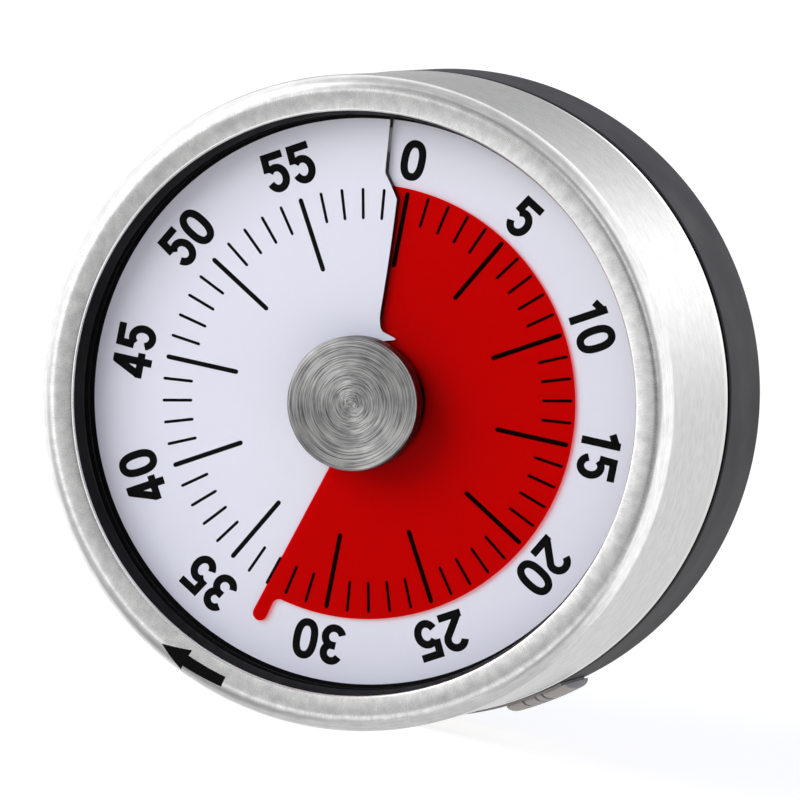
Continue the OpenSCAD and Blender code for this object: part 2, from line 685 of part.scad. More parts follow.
// Hammer behind the rear plate: arm and head beside the bell's rim.
module hammer() color([0.6, 0.6, 0.62]) seat() difference() {
    union() {
        at_point(hammer_p) rod(2.2, hammer_z, hammer_z + hammer_t);
        at_point(hammer_p) rotate([0, 0, bearing(hammer_p, hammer_head_p)]) translate([0, -0.7, hammer_z])
            cube([norm(hammer_head_p - hammer_p), 1.4, hammer_t]);
        at_point(hammer_head_p) rod(hammer_head_r, hammer_z - 0.6, hammer_z + hammer_t + 0.2);
    }
    at_point(hammer_p) rod(small_arbor_r + seat_clear, hammer_z - 1, hammer_z + hammer_t + 1);
}

// Hammer arbor with the finger that rides on the cam.
module hammer_arbor() color([0.75, 0.76, 0.78]) seat() at_point(hammer_p) {
    rod(small_arbor_r, hammer_z, front_top_z - 0.1);
    rod(1.8, cam_z - 0.6, cam_z + cam_t + 0.2);
    rotate([0, 0, hammer_a + 180]) translate([0, -0.5, cam_z]) cube([hammer_at - cam_r - 0.4, 1, cam_t]);
}

base_cup();
back_cover();
magnets();
cover_screws();
foot_pad();
bell();
bell_screw();
rear_plate();
front_plate();
pillars();
pillar_nuts();
movement_screws();
mainspring();
spring_stud();
dial_carrier();
dial();
steel_shell();
ring_liner();
lens();
lens_clamp();
knob_cap();
knob_hub();
disc_hub();
time_disc();
main_arbor();
great_wheel();
alarm_cam();
second_wheel();
second_arbor();
third_wheel();
third_arbor();
escape_wheel();
escape_arbor();
pallet_lever();
pallet_arbor();
hammer();
hammer_arbor();
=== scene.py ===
"""Ring-wound visual countdown timer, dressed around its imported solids.

Every piece is drawn in millimetres round the timer's own axis: z = 0 is the back, z grows towards
the reader, x points right and y up as the dial is read. Axis.point() stands that drawing up in the
part's frame, which is in metres.
"""

import logging
import math
from contextlib import contextmanager
from dataclasses import dataclass, field
from enum import Enum
from typing import Callable, Iterator, Sequence

import bpy
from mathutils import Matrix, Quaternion, Vector

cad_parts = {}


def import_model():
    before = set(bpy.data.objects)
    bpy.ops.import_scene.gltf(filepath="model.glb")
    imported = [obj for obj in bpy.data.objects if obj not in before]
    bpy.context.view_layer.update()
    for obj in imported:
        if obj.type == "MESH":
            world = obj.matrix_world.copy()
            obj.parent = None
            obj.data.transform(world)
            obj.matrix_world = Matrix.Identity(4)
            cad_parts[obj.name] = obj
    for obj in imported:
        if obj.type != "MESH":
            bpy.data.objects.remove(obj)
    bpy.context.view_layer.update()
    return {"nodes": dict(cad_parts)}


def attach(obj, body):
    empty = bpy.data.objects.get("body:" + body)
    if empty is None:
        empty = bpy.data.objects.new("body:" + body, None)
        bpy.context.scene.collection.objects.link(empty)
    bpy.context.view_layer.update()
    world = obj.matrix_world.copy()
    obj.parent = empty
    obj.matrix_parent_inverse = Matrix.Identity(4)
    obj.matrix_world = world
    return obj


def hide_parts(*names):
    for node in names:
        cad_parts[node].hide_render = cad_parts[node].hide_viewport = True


LOG = logging.getLogger("timer")
MM = 0.001
MERGE = 1e-6
Piece = bpy.types.Object
Profile = list[tuple[float, float]]
Inputs = dict[str | int, object]


class Body(Enum):
    """The bodies of the part that a piece can ride on."""

    BASE = "base"
    RING = "ring"


class Slot(Enum):
    """The record's material slots."""

    DARK_MOULDING = "dark_moulding"
    BLACK_MOULDING = "black_moulding"
    WHITE_MOULDING = "white_moulding"
    RED_MOULDING = "red_moulding"
    RED_FILM = "red_film"
    DIAL_SHEET = "dial_sheet"
    PALE_RUBBER = "pale_rubber"
    CLEAR_LENS = "clear_lens"
    BRUSHED_SHELL = "brushed_shell"
    SPUN_CAP = "spun_cap"
    BELL_STEEL = "bell_steel"
    ARBOR_STEEL = "arbor_steel"
    PLATED_SCREW = "plated_screw"
    MAGNET_PLATING = "magnet_plating"
    BLUED_SPRING = "blued_spring"
    MOVEMENT_BRASS = "movement_brass"


# ---------------------------------------------------------------------------------------------
# Places


@dataclass(frozen=True)
class Axis:
    """The timer's axis in the part's frame, in millimetres."""

    depth: float = 45.0
    height: float = 40.3

    def point(self, x: float, y: float, z: float) -> Vector:
        """Gives the point in metres that is x right of and y above the axis, at level z."""
        return Vector((x, self.depth / 2 - z, self.height + y)) * MM

    def clock(self, radius: float, turn: float, z: float) -> Vector:
        """Gives the point in metres at a radius, a clockwise angle from twelve and level z."""
        a = math.radians(turn)
        return self.point(radius * math.sin(a), radius * math.cos(a), z)

    def level(self, place: Vector) -> float:
        """Gives the level above the back of a point in the part's frame, in millimetres."""
        return self.depth / 2 - place.y / MM

    def radius(self, place: Vector) -> float:
        """Gives a point's distance from the axis in millimetres."""
        return math.hypot(place.x / MM, place.z / MM - self.height)


AXIS = Axis()


def arc(cx: float, cy: float, rx: float, ry: float, start: float, stop: float,
        steps: int) -> Profile:
    """Lists points along an elliptic arc.

    Args:
        cx: centre, first coordinate.
        cy: centre, second coordinate.
        rx: radius along the first coordinate.
        ry: radius along the second coordinate.
        start: first angle in degrees.
        stop: last angle in degrees.
        steps: number of chords.

    Returns:
        The points, steps + 1 of them.
    """
    turns = [math.radians(start + (stop - start) * i / steps) for i in range(steps + 1)]
    return [(cx + rx * math.cos(a), cy + ry * math.sin(a)) for a in turns]


def turn_along(line: Profile, radius: float) -> float:
    """Reads a line of radii and angles at a radius.

    Args:
        line: points as (radius, angle), from the axis outwards.
        radius: distance from the axis.

    Returns:
        The angle there, and beyond the line's end the last one.
    """
    for (r0, a0), (r1, a1) in zip(line, line[1:]):
        if radius <= r1:
            return a0 + (a1 - a0) * (radius - r0) / (r1 - r0)
    return line[-1][1]


# ---------------------------------------------------------------------------------------------
# Modelling


def deselect() -> None:
    """Leaves edit mode and clears the selection."""
    if bpy.context.object is not None and bpy.context.object.mode != "OBJECT":
        bpy.ops.object.mode_set(mode="OBJECT")
    bpy.ops.object.select_all(action="DESELECT")


def grasp(piece: Piece) -> None:
    """Makes one piece the only selected and active one.

    Args:
        piece: the piece to take hold of.
    """
    deselect()
    piece.select_set(True)
    bpy.context.view_layer.objects.active = piece


@contextmanager
def editing(piece: Piece) -> Iterator[None]:
    """Opens a piece in edit mode, with everything in it selected.

    Args:
        piece: the piece to edit.

    Yields:
        Nothing; edit mode ends with the block.
    """
    grasp(piece)
    bpy.ops.object.mode_set(mode="EDIT")
    bpy.ops.mesh.select_mode(type="VERT")
    bpy.ops.mesh.select_all(action="SELECT")
    yield
    bpy.ops.object.mode_set(mode="OBJECT")


def close_up(piece: Piece) -> None:
    """Merges seams and poles and turns all faces outwards.

    Args:
        piece: the piece to close.
    """
    with editing(piece):
        bpy.ops.mesh.remove_doubles(threshold=MERGE)
        bpy.ops.mesh.normals_make_consistent(inside=False)


def modify(piece: Piece, kind: str, **settings: object) -> None:
    """Adds a modifier with its settings and applies it.

    Args:
        piece: the piece to change.
        kind: the modifier's type.
        settings: its properties by name.
    """
    grasp(piece)
    modifier = piece.modifiers.new(kind.title(), kind)
    for key, value in settings.items():
        setattr(modifier, key, value)
    bpy.ops.object.modifier_apply(modifier=modifier.name)


def round_edges(piece: Piece, width: float, segments: int = 3, angle: float = 35) -> None:
    """Rounds the sharp edges of a piece.

    Args:
        piece: the piece to change.
        width: width of the rounding in millimetres.
        segments: facets across the rounding.
        angle: edges sharper than this many degrees are rounded.
    """
    modify(piece, "BEVEL", width=width * MM, segments=segments, limit_method="ANGLE",
           angle_limit=math.radians(angle), use_clamp_overlap=True, harden_normals=False)


def smooth(piece: Piece, angle: float = 32) -> None:
    """Shades a piece smoothly; large flat faces keep their direction up to the rounding.

    Args:
        piece: the piece to shade.
        angle: edges sharper than this many degrees stay sharp.
    """
    grasp(piece)
    bpy.ops.object.shade_smooth_by_angle(angle=math.radians(angle))
    modify(piece, "WEIGHTED_NORMAL", keep_sharp=True)


def lathe(name: str, profile: Sequence[tuple[float, float]], steps: int = 256,
          start: float = 0.0, sweep: float = 360.0) -> Piece:
    """Draws a half section vertex by vertex and spins it round the axis.

    Args:
        name: name of the new piece.
        profile: corners of the closed half section as (radius, level), in millimetres.
        steps: facets in the sweep.
        start: clockwise angle of the section, in degrees.
        sweep: clockwise angle that is swept; below 360 the ends are closed.

    Returns:
        The new piece, closed, with its faces outwards.
    """
    deselect()
    bpy.ops.mesh.primitive_plane_add(size=MM)
    piece = bpy.context.object
    piece.name = piece.data.name = name
    section = [AXIS.clock(r, start, z) for r, z in profile]
    with editing(piece):
        bpy.ops.mesh.merge(type="CENTER")
        bpy.ops.transform.translate(value=section[0])
        for here, there in zip(section, section[1:] + section[:1]):
            bpy.ops.mesh.extrude_vertices_move(TRANSFORM_OT_translate={"value": there - here})
        bpy.ops.mesh.select_all(action="SELECT")
        bpy.ops.mesh.remove_doubles(threshold=MERGE)
        whole = sweep >= 360
        if not whole:
            bpy.ops.mesh.edge_face_add()
        bpy.ops.mesh.spin(steps=steps, angle=-math.radians(sweep), use_auto_merge=whole,
                          center=AXIS.point(0, 0, 0), axis=(0, 1, 0))
    close_up(piece)
    return piece


def sheet(name: str, columns: int, rows: int, place: Callable[[float, float], Vector]) -> Piece:
    """Lays a grid out as a curved sheet.

    Args:
        name: name of the new piece.
        columns: cells along u.
        rows: cells along v.
        place: gives the point in metres for u and v, each from 0 to 1.

    Returns:
        The new piece, a single open sheet.
    """
    deselect()
    bpy.ops.mesh.primitive_grid_add(x_subdivisions=columns, y_subdivisions=rows, size=1)
    piece = bpy.context.object
    piece.name = piece.data.name = name
    for vertex in piece.data.vertices:
        vertex.co = place(vertex.co.x + 0.5, vertex.co.y + 0.5)
    piece.data.update()
    with editing(piece):
        bpy.ops.mesh.remove_doubles(threshold=MERGE / 10)
    return piece


def ribbon(path: Sequence[tuple[float, float]], width: float) -> tuple[Profile, Profile]:
    """Offsets a line to both sides, with mitred corners.

    Args:
        path: points of the centre line; the last equals the first where it is closed.
        width: width of the ribbon.

    Returns:
        The left side and the right side.
    """
    closed = math.dist(path[0], path[-1]) < 1e-9
    left, right = [], []
    for i, (x, y) in enumerate(path):
        back = path[i - 1] if i else (path[-2] if closed else None)
        ahead = path[i + 1] if i + 1 < len(path) else (path[1] if closed else None)
        before = Vector((x - back[0], y - back[1])).normalized() if back else None
        after = Vector((ahead[0] - x, ahead[1] - y)).normalized() if ahead else None
        along = ((before or after) + (after or before)).normalized()
        reach = width / 2 / max(along.dot(after or before), 0.5)
        left.append((x - along.y * reach, y + along.x * reach))
        right.append((x + along.y * reach, y - along.x * reach))
    return left, right


def join(name: str, pieces: Sequence[Piece]) -> Piece:
    """Joins pieces into one.

    Args:
        name: name of the joined piece.
        pieces: the pieces, which become one.

    Returns:
        The joined piece.
    """
    deselect()
    for piece in pieces:
        piece.select_set(True)
    bpy.context.view_layer.objects.active = pieces[0]
    bpy.ops.object.join()
    pieces[0].name = pieces[0].data.name = name
    return pieces[0]


def copy_solid(node: str, name: str) -> Piece:
    """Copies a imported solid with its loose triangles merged, so that it can be shaded smoothly.

    Args:
        node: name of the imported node.
        name: name of the copy.

    Returns:
        The copy, without a parent.
    """
    source = bpy.data.objects[node]
    piece = bpy.data.objects.new(name, source.data.copy())
    piece.data.materials.clear()
    bpy.context.scene.collection.objects.link(piece)
    with editing(piece):
        bpy.ops.mesh.remove_doubles(threshold=MERGE)
        bpy.ops.mesh.tris_convert_to_quads(face_threshold=math.radians(1),
                                           shape_threshold=math.radians(60))
    return piece


# ---------------------------------------------------------------------------------------------
# Finishes


def linear(sheet_hex: str) -> tuple[float, float, float, float]:
    """Turns an sRGB hex value to linear colour.

    Args:
        sheet_hex: the colour as on a colour sheet, such as #808080.

    Returns:
        Red, green and blue in linear light, and alpha 1.
    """
    parts = [int(sheet_hex.lstrip("#")[i:i + 2], 16) / 255 for i in (0, 2, 4)]
    r, g, b = [c / 12.92 if c <= 0.04045 else ((c + 0.055) / 1.055) ** 2.4 for c in parts]
    return r, g, b, 1.0


def add_node(tree: bpy.types.NodeTree, kind: str, inputs: Inputs | None = None,
             **settings: object) -> bpy.types.Node:
    """Adds a node with its settings and links.

    Args:
        tree: the node tree.
        kind: the node's type, without its ShaderNode prefix.
        inputs: a value or an output socket for each input by name or number.
        settings: the node's properties by name.

    Returns:
        The node.
    """
    node = tree.nodes.new("ShaderNode" + kind)
    for key, value in settings.items():
        setattr(node, key, value)
    for key, value in (inputs or {}).items():
        if isinstance(value, bpy.types.NodeSocket):
            tree.links.new(value, node.inputs[key])
        else:
            node.inputs[key].default_value = value
    return node


@dataclass(frozen=True)
class Finish:
    """What every finish has: the name of the real material and the record's slot."""

    name: str
    slot: Slot | None = None

    def surface(self, tree: bpy.types.NodeTree) -> bpy.types.NodeSocket:
        """Builds the shader nodes and returns the shader socket."""
        raise NotImplementedError

    def material(self) -> bpy.types.Material:
        """Builds the material the first time it is asked for.

        Returns:
            The material, the same one each time.
        """
        found = bpy.data.materials.get(self.name)
        if found is not None:
            return found
        made = bpy.data.materials.new(self.name)
        made.use_nodes = True
        made.node_tree.nodes.clear()
        add_node(made.node_tree, "OutputMaterial", {"Surface": self.surface(made.node_tree)})
        return made


@dataclass(frozen=True)
class Moulded(Finish):
    """Injection-moulded plastic or rubber: fine spark-eroded grain and slightly uneven gloss."""

    colour: str = "#808080"
    roughness: float = 0.45
    sheen_level: float = 0.5
    grain: float = 0.12
    grain_depth: float = 0.006
    unevenness: float = 0.06
    cloud: float = 0.06

    def surface(self, tree: bpy.types.NodeTree) -> bpy.types.NodeSocket:
        """Builds grain, gloss variation and a faint clouding of the colour.

        Args:
            tree: the node tree.

        Returns:
            The shader's socket.
        """
        place = add_node(tree, "TexCoord").outputs["Object"]
        grain = add_node(tree, "TexNoise", {
            "Vector": place, "Scale": 1 / (self.grain * MM), "Detail": 2.0, "Roughness": 0.6})
        cloud = add_node(tree, "TexNoise", {
            "Vector": place, "Scale": 1 / (9 * MM), "Detail": 3.0, "Roughness": 0.55})
        gloss = add_node(tree, "MapRange", {
            "Value": cloud.outputs["Fac"], 1: 0.3, 2: 0.7,
            3: self.roughness - self.unevenness, 4: self.roughness + self.unevenness})
        base = linear(self.colour)
        shade = add_node(tree, "Mix", {
            0: cloud.outputs["Fac"], 6: (*[c * (1 - self.cloud) for c in base[:3]], 1),
            7: (*[min(c * (1 + self.cloud), 1) for c in base[:3]], 1)}, data_type="RGBA")
        bump = add_node(tree, "Bump", {
            "Height": grain.outputs["Fac"], "Distance": self.grain_depth * MM, "Strength": 0.6})
        return add_node(tree, "BsdfPrincipled", {
            "Base Color": shade.outputs[2], "Roughness": gloss.outputs[0],
            "Specular IOR Level": self.sheen_level, "Normal": bump.outputs[0]}).outputs[0]


@dataclass(frozen=True)
class PlainMetal(Finish):
    """Machined, rolled or plated metal: even scratches and a soft stain of handling."""

    colour: str = "#C0C0C0"
    roughness: float = 0.3
    scratch: float = 0.08
    scratch_depth: float = 0.002

    def surface(self, tree: bpy.types.NodeTree) -> bpy.types.NodeSocket:
        """Builds fine scratches over a faint stain.

        Args:
            tree: the node tree.

        Returns:
            The shader's socket.
        """
        place = add_node(tree, "TexCoord").outputs["Object"]
        stretch = add_node(tree, "Mapping", {"Vector": place, "Scale": (1.0, 1.0, 0.06)})
        scratch = add_node(tree, "TexNoise", {
            "Vector": stretch.outputs[0], "Scale": 1 / (self.scratch * MM), "Detail": 3.0})
        stain = add_node(tree, "TexNoise", {
            "Vector": place, "Scale": 1 / (4 * MM), "Detail": 3.0, "Roughness": 0.6})
        base = linear(self.colour)
        shade = add_node(tree, "Mix", {
            0: stain.outputs["Fac"], 6: (*[c * 0.85 for c in base[:3]], 1),
            7: (*[min(c * 1.1, 1) for c in base[:3]], 1)}, data_type="RGBA")
        gloss = add_node(tree, "MapRange", {
            "Value": scratch.outputs["Fac"], 1: 0.3, 2: 0.7,
            3: self.roughness * 0.8, 4: self.roughness * 1.25})
        bump = add_node(tree, "Bump", {
            "Height": scratch.outputs["Fac"], "Distance": self.scratch_depth * MM,
            "Strength": 0.4})
        return add_node(tree, "BsdfPrincipled", {
            "Base Color": shade.outputs[2], "Metallic": 1.0, "Roughness": gloss.outputs[0],
            "Normal": bump.outputs[0]}).outputs[0]


class Brush(Enum):
    """The way the brush or the tool went."""

    ACROSS = "straight out from the axis"
    ROUND = "round the axis along the side"
    TURNED = "round the axis on a face"


@dataclass(frozen=True)
class BrushedMetal(Finish):
    """Metal with thin scratches side by side, lighter and darker, across which a highlight
    spreads."""

    brush: Brush = Brush.ROUND
    dark: str = "#C6C5C3"
    light: str = "#E6E5E4"
    roughness: float = 0.34
    spread: float = 0.6
    scratch_w: float = 0.16
    scratch_len: float = 3.0
    scratch_depth: float = 0.004
    blotch: float = 0.12
    blotch_size: float = 5.0

    def surface(self, tree: bpy.types.NodeTree) -> bpy.types.NodeSocket:
        """Builds scratches that follow the brush over soft blotches, from radius and angle.

        Args:
            tree: the node tree.

        Returns:
            The shader's socket.
        """
        place = add_node(tree, "TexCoord").outputs["Object"]
        centred = add_node(tree, "Mapping", {
            "Vector": place, "Location": (0, 0, -AXIS.height * MM)})
        flat = add_node(tree, "VectorMath", {0: centred.outputs[0], 1: (1, 0, 1)},
                        operation="MULTIPLY")
        unit = add_node(tree, "VectorMath", {0: flat.outputs[0]}, operation="NORMALIZE")
        radius = add_node(tree, "VectorMath", {0: flat.outputs[0]}, operation="LENGTH")
        depth = add_node(tree, "SeparateXYZ", {0: centred.outputs[0]})
        along = {Brush.ACROSS: radius.outputs["Value"], Brush.ROUND: depth.outputs["Y"],
                 Brush.TURNED: radius.outputs["Value"]}[self.brush]
        reach = 38.0 if self.brush is not Brush.TURNED else 6.0
        if self.brush is Brush.ACROSS:
            count, pitch = reach / self.scratch_w, self.scratch_len
        else:
            count, pitch = reach / self.scratch_len, self.scratch_w
        steps = add_node(tree, "Math", {0: along, 1: 1 / (pitch * MM)}, operation="MULTIPLY")
        rise = add_node(tree, "CombineXYZ", {"Y": steps.outputs[0]})
        combed = add_node(tree, "VectorMath", {
            0: unit.outputs[0], 1: (count, count, count), 2: rise.outputs[0]},
            operation="MULTIPLY_ADD")
        marks = add_node(tree, "TexNoise", {
            "Vector": combed.outputs[0], "Scale": 1.0, "Detail": 3.0, "Roughness": 0.62})
        clouds = add_node(tree, "TexNoise", {
            "Vector": place, "Scale": 1 / (self.blotch_size * MM), "Detail": 2.0,
            "Roughness": 0.5})
        blend = add_node(tree, "Mix", {
            0: self.blotch, 2: marks.outputs["Fac"], 3: clouds.outputs["Fac"]})
        shade_at = add_node(tree, "MapRange", {"Value": blend.outputs[0], 1: 0.34, 2: 0.66})
        shade = add_node(tree, "Mix", {
            0: shade_at.outputs[0], 6: linear(self.dark), 7: linear(self.light)},
            data_type="RGBA")
        gloss = add_node(tree, "MapRange", {
            "Value": marks.outputs["Fac"], 1: 0.3, 2: 0.7, 3: self.roughness * 1.15,
            4: self.roughness * 0.85})
        bump = add_node(tree, "Bump", {
            "Height": marks.outputs["Fac"], "Distance": self.scratch_depth * MM,
            "Strength": 0.5})
        round_way = add_node(tree, "Tangent", direction_type="RADIAL", axis="Y")
        return add_node(tree, "BsdfPrincipled", {
            "Base Color": shade.outputs[2], "Metallic": 1.0, "Roughness": gloss.outputs[0],
            "Anisotropic": self.spread,
            "Anisotropic Rotation": 0.0 if self.brush is Brush.ACROSS else 0.25,
            "Tangent": round_way.outputs[0], "Normal": bump.outputs[0]}).outputs[0]


@dataclass(frozen=True)
class Printed(Finish):
    """Screen-printed ink: a flat film of colour with a slightly matt skin."""

    colour: str = "#181816"
    roughness: float = 0.5

    def surface(self, tree: bpy.types.NodeTree) -> bpy.types.NodeSocket:
        """Builds the ink with the faint mottle of a screen.

        Args:
            tree: the node tree.

        Returns:
            The shader's socket.
        """
        place = add_node(tree, "TexCoord").outputs["Object"]
        mottle = add_node(tree, "TexNoise", {
            "Vector": place, "Scale": 1 / (0.25 * MM), "Detail": 2.0})
        base = linear(self.colour)
        shade = add_node(tree, "Mix", {
            0: mottle.outputs["Fac"], 6: (*[c * 0.8 for c in base[:3]], 1),
            7: (*[c * 1.25 for c in base[:3]], 1)}, data_type="RGBA")
        return add_node(tree, "BsdfPrincipled", {
            "Base Color": shade.outputs[2], "Roughness": self.roughness,
            "Specular IOR Level": 0.03}).outputs[0]


@dataclass(frozen=True)
class ClearSheet(Finish):
    """Clear or dyed plastic sheet: what lies behind shows through, and only the skin shines."""

    through: str = "#FFFFFF"
    shine: float = 0.04
    roughness: float = 0.03

    def surface(self, tree: bpy.types.NodeTree) -> bpy.types.NodeSocket:
        """Builds the see-through film and mixes its shine in by the angle of sight.

        Args:
            tree: the node tree.

        Returns:
            The shader's socket.
        """
        film = add_node(tree, "BsdfTransparent", {"Color": linear(self.through)})
        shine = add_node(tree, "BsdfGlossy", {
            "Color": (1, 1, 1, 1), "Roughness": self.roughness})
        edge = add_node(tree, "Fresnel", {"IOR": 1.49})
        share = add_node(tree, "Math", {0: edge.outputs[0], 1: self.shine / 0.04},
                         operation="MULTIPLY", use_clamp=True)
        return add_node(tree, "MixShader", {
            0: share.outputs[0], 1: film.outputs[0], 2: shine.outputs[0]}).outputs[0]


# Real grain and scratches are a few hundredths of a millimetre wide, too fine to be seen where the
# whole timer is in view. They are drawn coarser here, at about a tenth.

# Spark-eroded ABS: a dull charcoal that lightens softly towards the light, without a highlight.
BASE_PLASTIC = Moulded("satin_abs_charcoal", Slot.DARK_MOULDING, colour="#37373B",
                       roughness=0.58, sheen_level=0.12, grain=0.1, grain_depth=0.004)
# Matt ABS: near black and almost without shine, so that it frames the dial. On the base's neck the
# same black is painted shade in the gap behind the ring.
LINER_BLACK_AND_NECK_SHADE = Moulded("matt_abs_black_and_neck_shade", Slot.BLACK_MOULDING, colour="#0F0F11",
                        roughness=0.6, sheen_level=0.07, grain=0.12, grain_depth=0.006)
# Natural white ABS of an inner part: plain, with the usual moulded gloss.
CARRIER_PLASTIC = Moulded("moulded_abs_white", Slot.WHITE_MOULDING, colour="#D8D8D6",
                          roughness=0.5)
# Red ABS darkened nearly to black: partly the hub's own red, partly painted shade, a thin line
# under the cap.
RED_HUB_PAINTED_SHADE = Moulded("moulded_abs_red_painted_shade", Slot.RED_MOULDING, colour="#260306",
                      roughness=0.4, sheen_level=0.15)
# Soft PVC: a pale dull grey with a coarser grain than the hard mouldings.
FOOT_RUBBER = Moulded("soft_pvc_pale_grey", Slot.PALE_RUBBER, colour="#A6A6A9",
                      roughness=0.62, sheen_level=0.3, grain=0.16, grain_depth=0.01)
# Matt PVC sheet: cool white and even, with hardly any grain.
DIAL_FILM = Moulded("matt_pvc_sheet_white", Slot.DIAL_SHEET, colour="#E1E0EC", roughness=0.6,
                    sheen_level=0.1, grain=0.08, grain_depth=0.0006, unevenness=0.03,
                    cloud=0.015)
# Dyed polyester film: the white sheet turns a full red through it and the marks stay black.
RED_FILM = ClearSheet("dyed_polyester_film_red", Slot.RED_FILM, through="#F61216", shine=0.002,
                      roughness=0.1)
# Cast acrylic: shows the dial as it is, with a faint shine at a low angle.
LENS_ACRYLIC = ClearSheet("cast_acrylic_clear", Slot.CLEAR_LENS, through="#FDFEFE", shine=0.01)
# Stainless steel brushed round the ring: long bands of light with fine streaks along them.
SHELL_SIDE = BrushedMetal("stainless_steel_brushed_round", Slot.BRUSHED_SHELL,
                          brush=Brush.ROUND, dark="#D4D4D6", light="#EFEFEF", roughness=0.24,
                          spread=0.4, scratch_w=0.13, scratch_len=2.6, scratch_depth=0.002,
                          blotch=0.35, blotch_size=1.6)
# The same steel brushed across the lip: short strokes and soft clouds of grey.
SHELL_LIP = BrushedMetal("stainless_steel_brushed_across", Slot.BRUSHED_SHELL,
                         brush=Brush.ACROSS, dark="#CCCCCD", light="#EFEEED", roughness=0.27,
                         spread=0.4, scratch_w=0.1, scratch_len=1.6, scratch_depth=0.0015,
                         blotch=0.55, blotch_size=1.2)
# The same steel polished at its broken edges: thin bright lines.
SHELL_EDGE = PlainMetal("stainless_steel_polished_edge", Slot.BRUSHED_SHELL, colour="#F4F3F1",
                        roughness=0.16, scratch_depth=0.001)
# Aluminium faced on a lathe: light and dark rings, and wedges of light that meet in the middle.
CAP_FACE = BrushedMetal("lathe_turned_aluminium", Slot.SPUN_CAP, brush=Brush.TURNED,
                        dark="#505052", light="#D2D1D0", roughness=0.36, spread=0.93,
                        scratch_w=0.14, scratch_len=5.0, scratch_depth=0.007, blotch=0.2,
                        blotch_size=2.5)
# Cap skirt painted near black: painted shade, the dark crescent beside the bright face.
SKIRT_PAINTED_SHADE = PlainMetal("aluminium_skirt_painted_shade", Slot.SPUN_CAP, colour="#2B2223",
                       roughness=0.35)
# Metals of the movement and the back, each with its own tint and polish.
BELL_FINISH = PlainMetal("polished_bell_steel", Slot.BELL_STEEL, colour="#CFCFCD", roughness=0.2)
ARBOR_FINISH = PlainMetal("ground_arbor_steel", Slot.ARBOR_STEEL, colour="#BBBBBA",
                          roughness=0.25)
SCREW_FINISH = PlainMetal("zinc_plated_steel", Slot.PLATED_SCREW, colour="#B9BBBE",
                          roughness=0.32)
MAGNET_FINISH = PlainMetal("nickel_plated_ferrite", Slot.MAGNET_PLATING, colour="#C6C2BA",
                           roughness=0.22)
SPRING_FINISH = PlainMetal("blued_spring_steel", Slot.BLUED_SPRING, colour="#39435F",
                           roughness=0.3)
BRASS_FINISH = PlainMetal("rolled_clock_brass", Slot.MOVEMENT_BRASS, colour="#C6A35A",
                          roughness=0.28)
# Screen-printed ink: flat black without shine. On the dial's edges, its back and the band beyond
# its edge the same black is painted shade.
PRINT_INK_AND_SHADE = Printed("screen_ink_black_and_shade", colour="#0A0A0A", roughness=0.6)


def faces_between(piece: Piece, facing: tuple[float, float]) -> list[int]:
    """Lists the faces whose normal's share towards the reader lies within the two bounds."""
    low, high = facing
    return [face.index for face in piece.data.polygons if low <= -face.normal.y <= high]


def place_piece(piece: Piece, body: Body, finish: Finish, replaces: Sequence[str] = (),
                others: dict[Finish, list[int]] | None = None) -> Piece:
    """Dresses a piece, seats it on its body and reports it.

    Args:
        piece: the finished piece.
        body: the body that it rides on.
        finish: its finish.
        replaces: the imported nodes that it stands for.
        others: further finishes with the faces that have them.

    Returns:
        The piece.
    """
    piece.data.materials.clear()
    piece.data.materials.append(finish.material())
    for place, (other, faces) in enumerate((others or {}).items(), start=1):
        piece.data.materials.append(other.material())
        for index in faces:
            piece.data.polygons[index].material_index = place
    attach(piece, body.value)
    if replaces:
        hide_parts(*replaces)
    LOG.info("%s: %d faces on %s in %s", piece.name, len(piece.data.polygons), body.value,
             finish.name)
    return piece


# ---------------------------------------------------------------------------------------------
# The turning ring


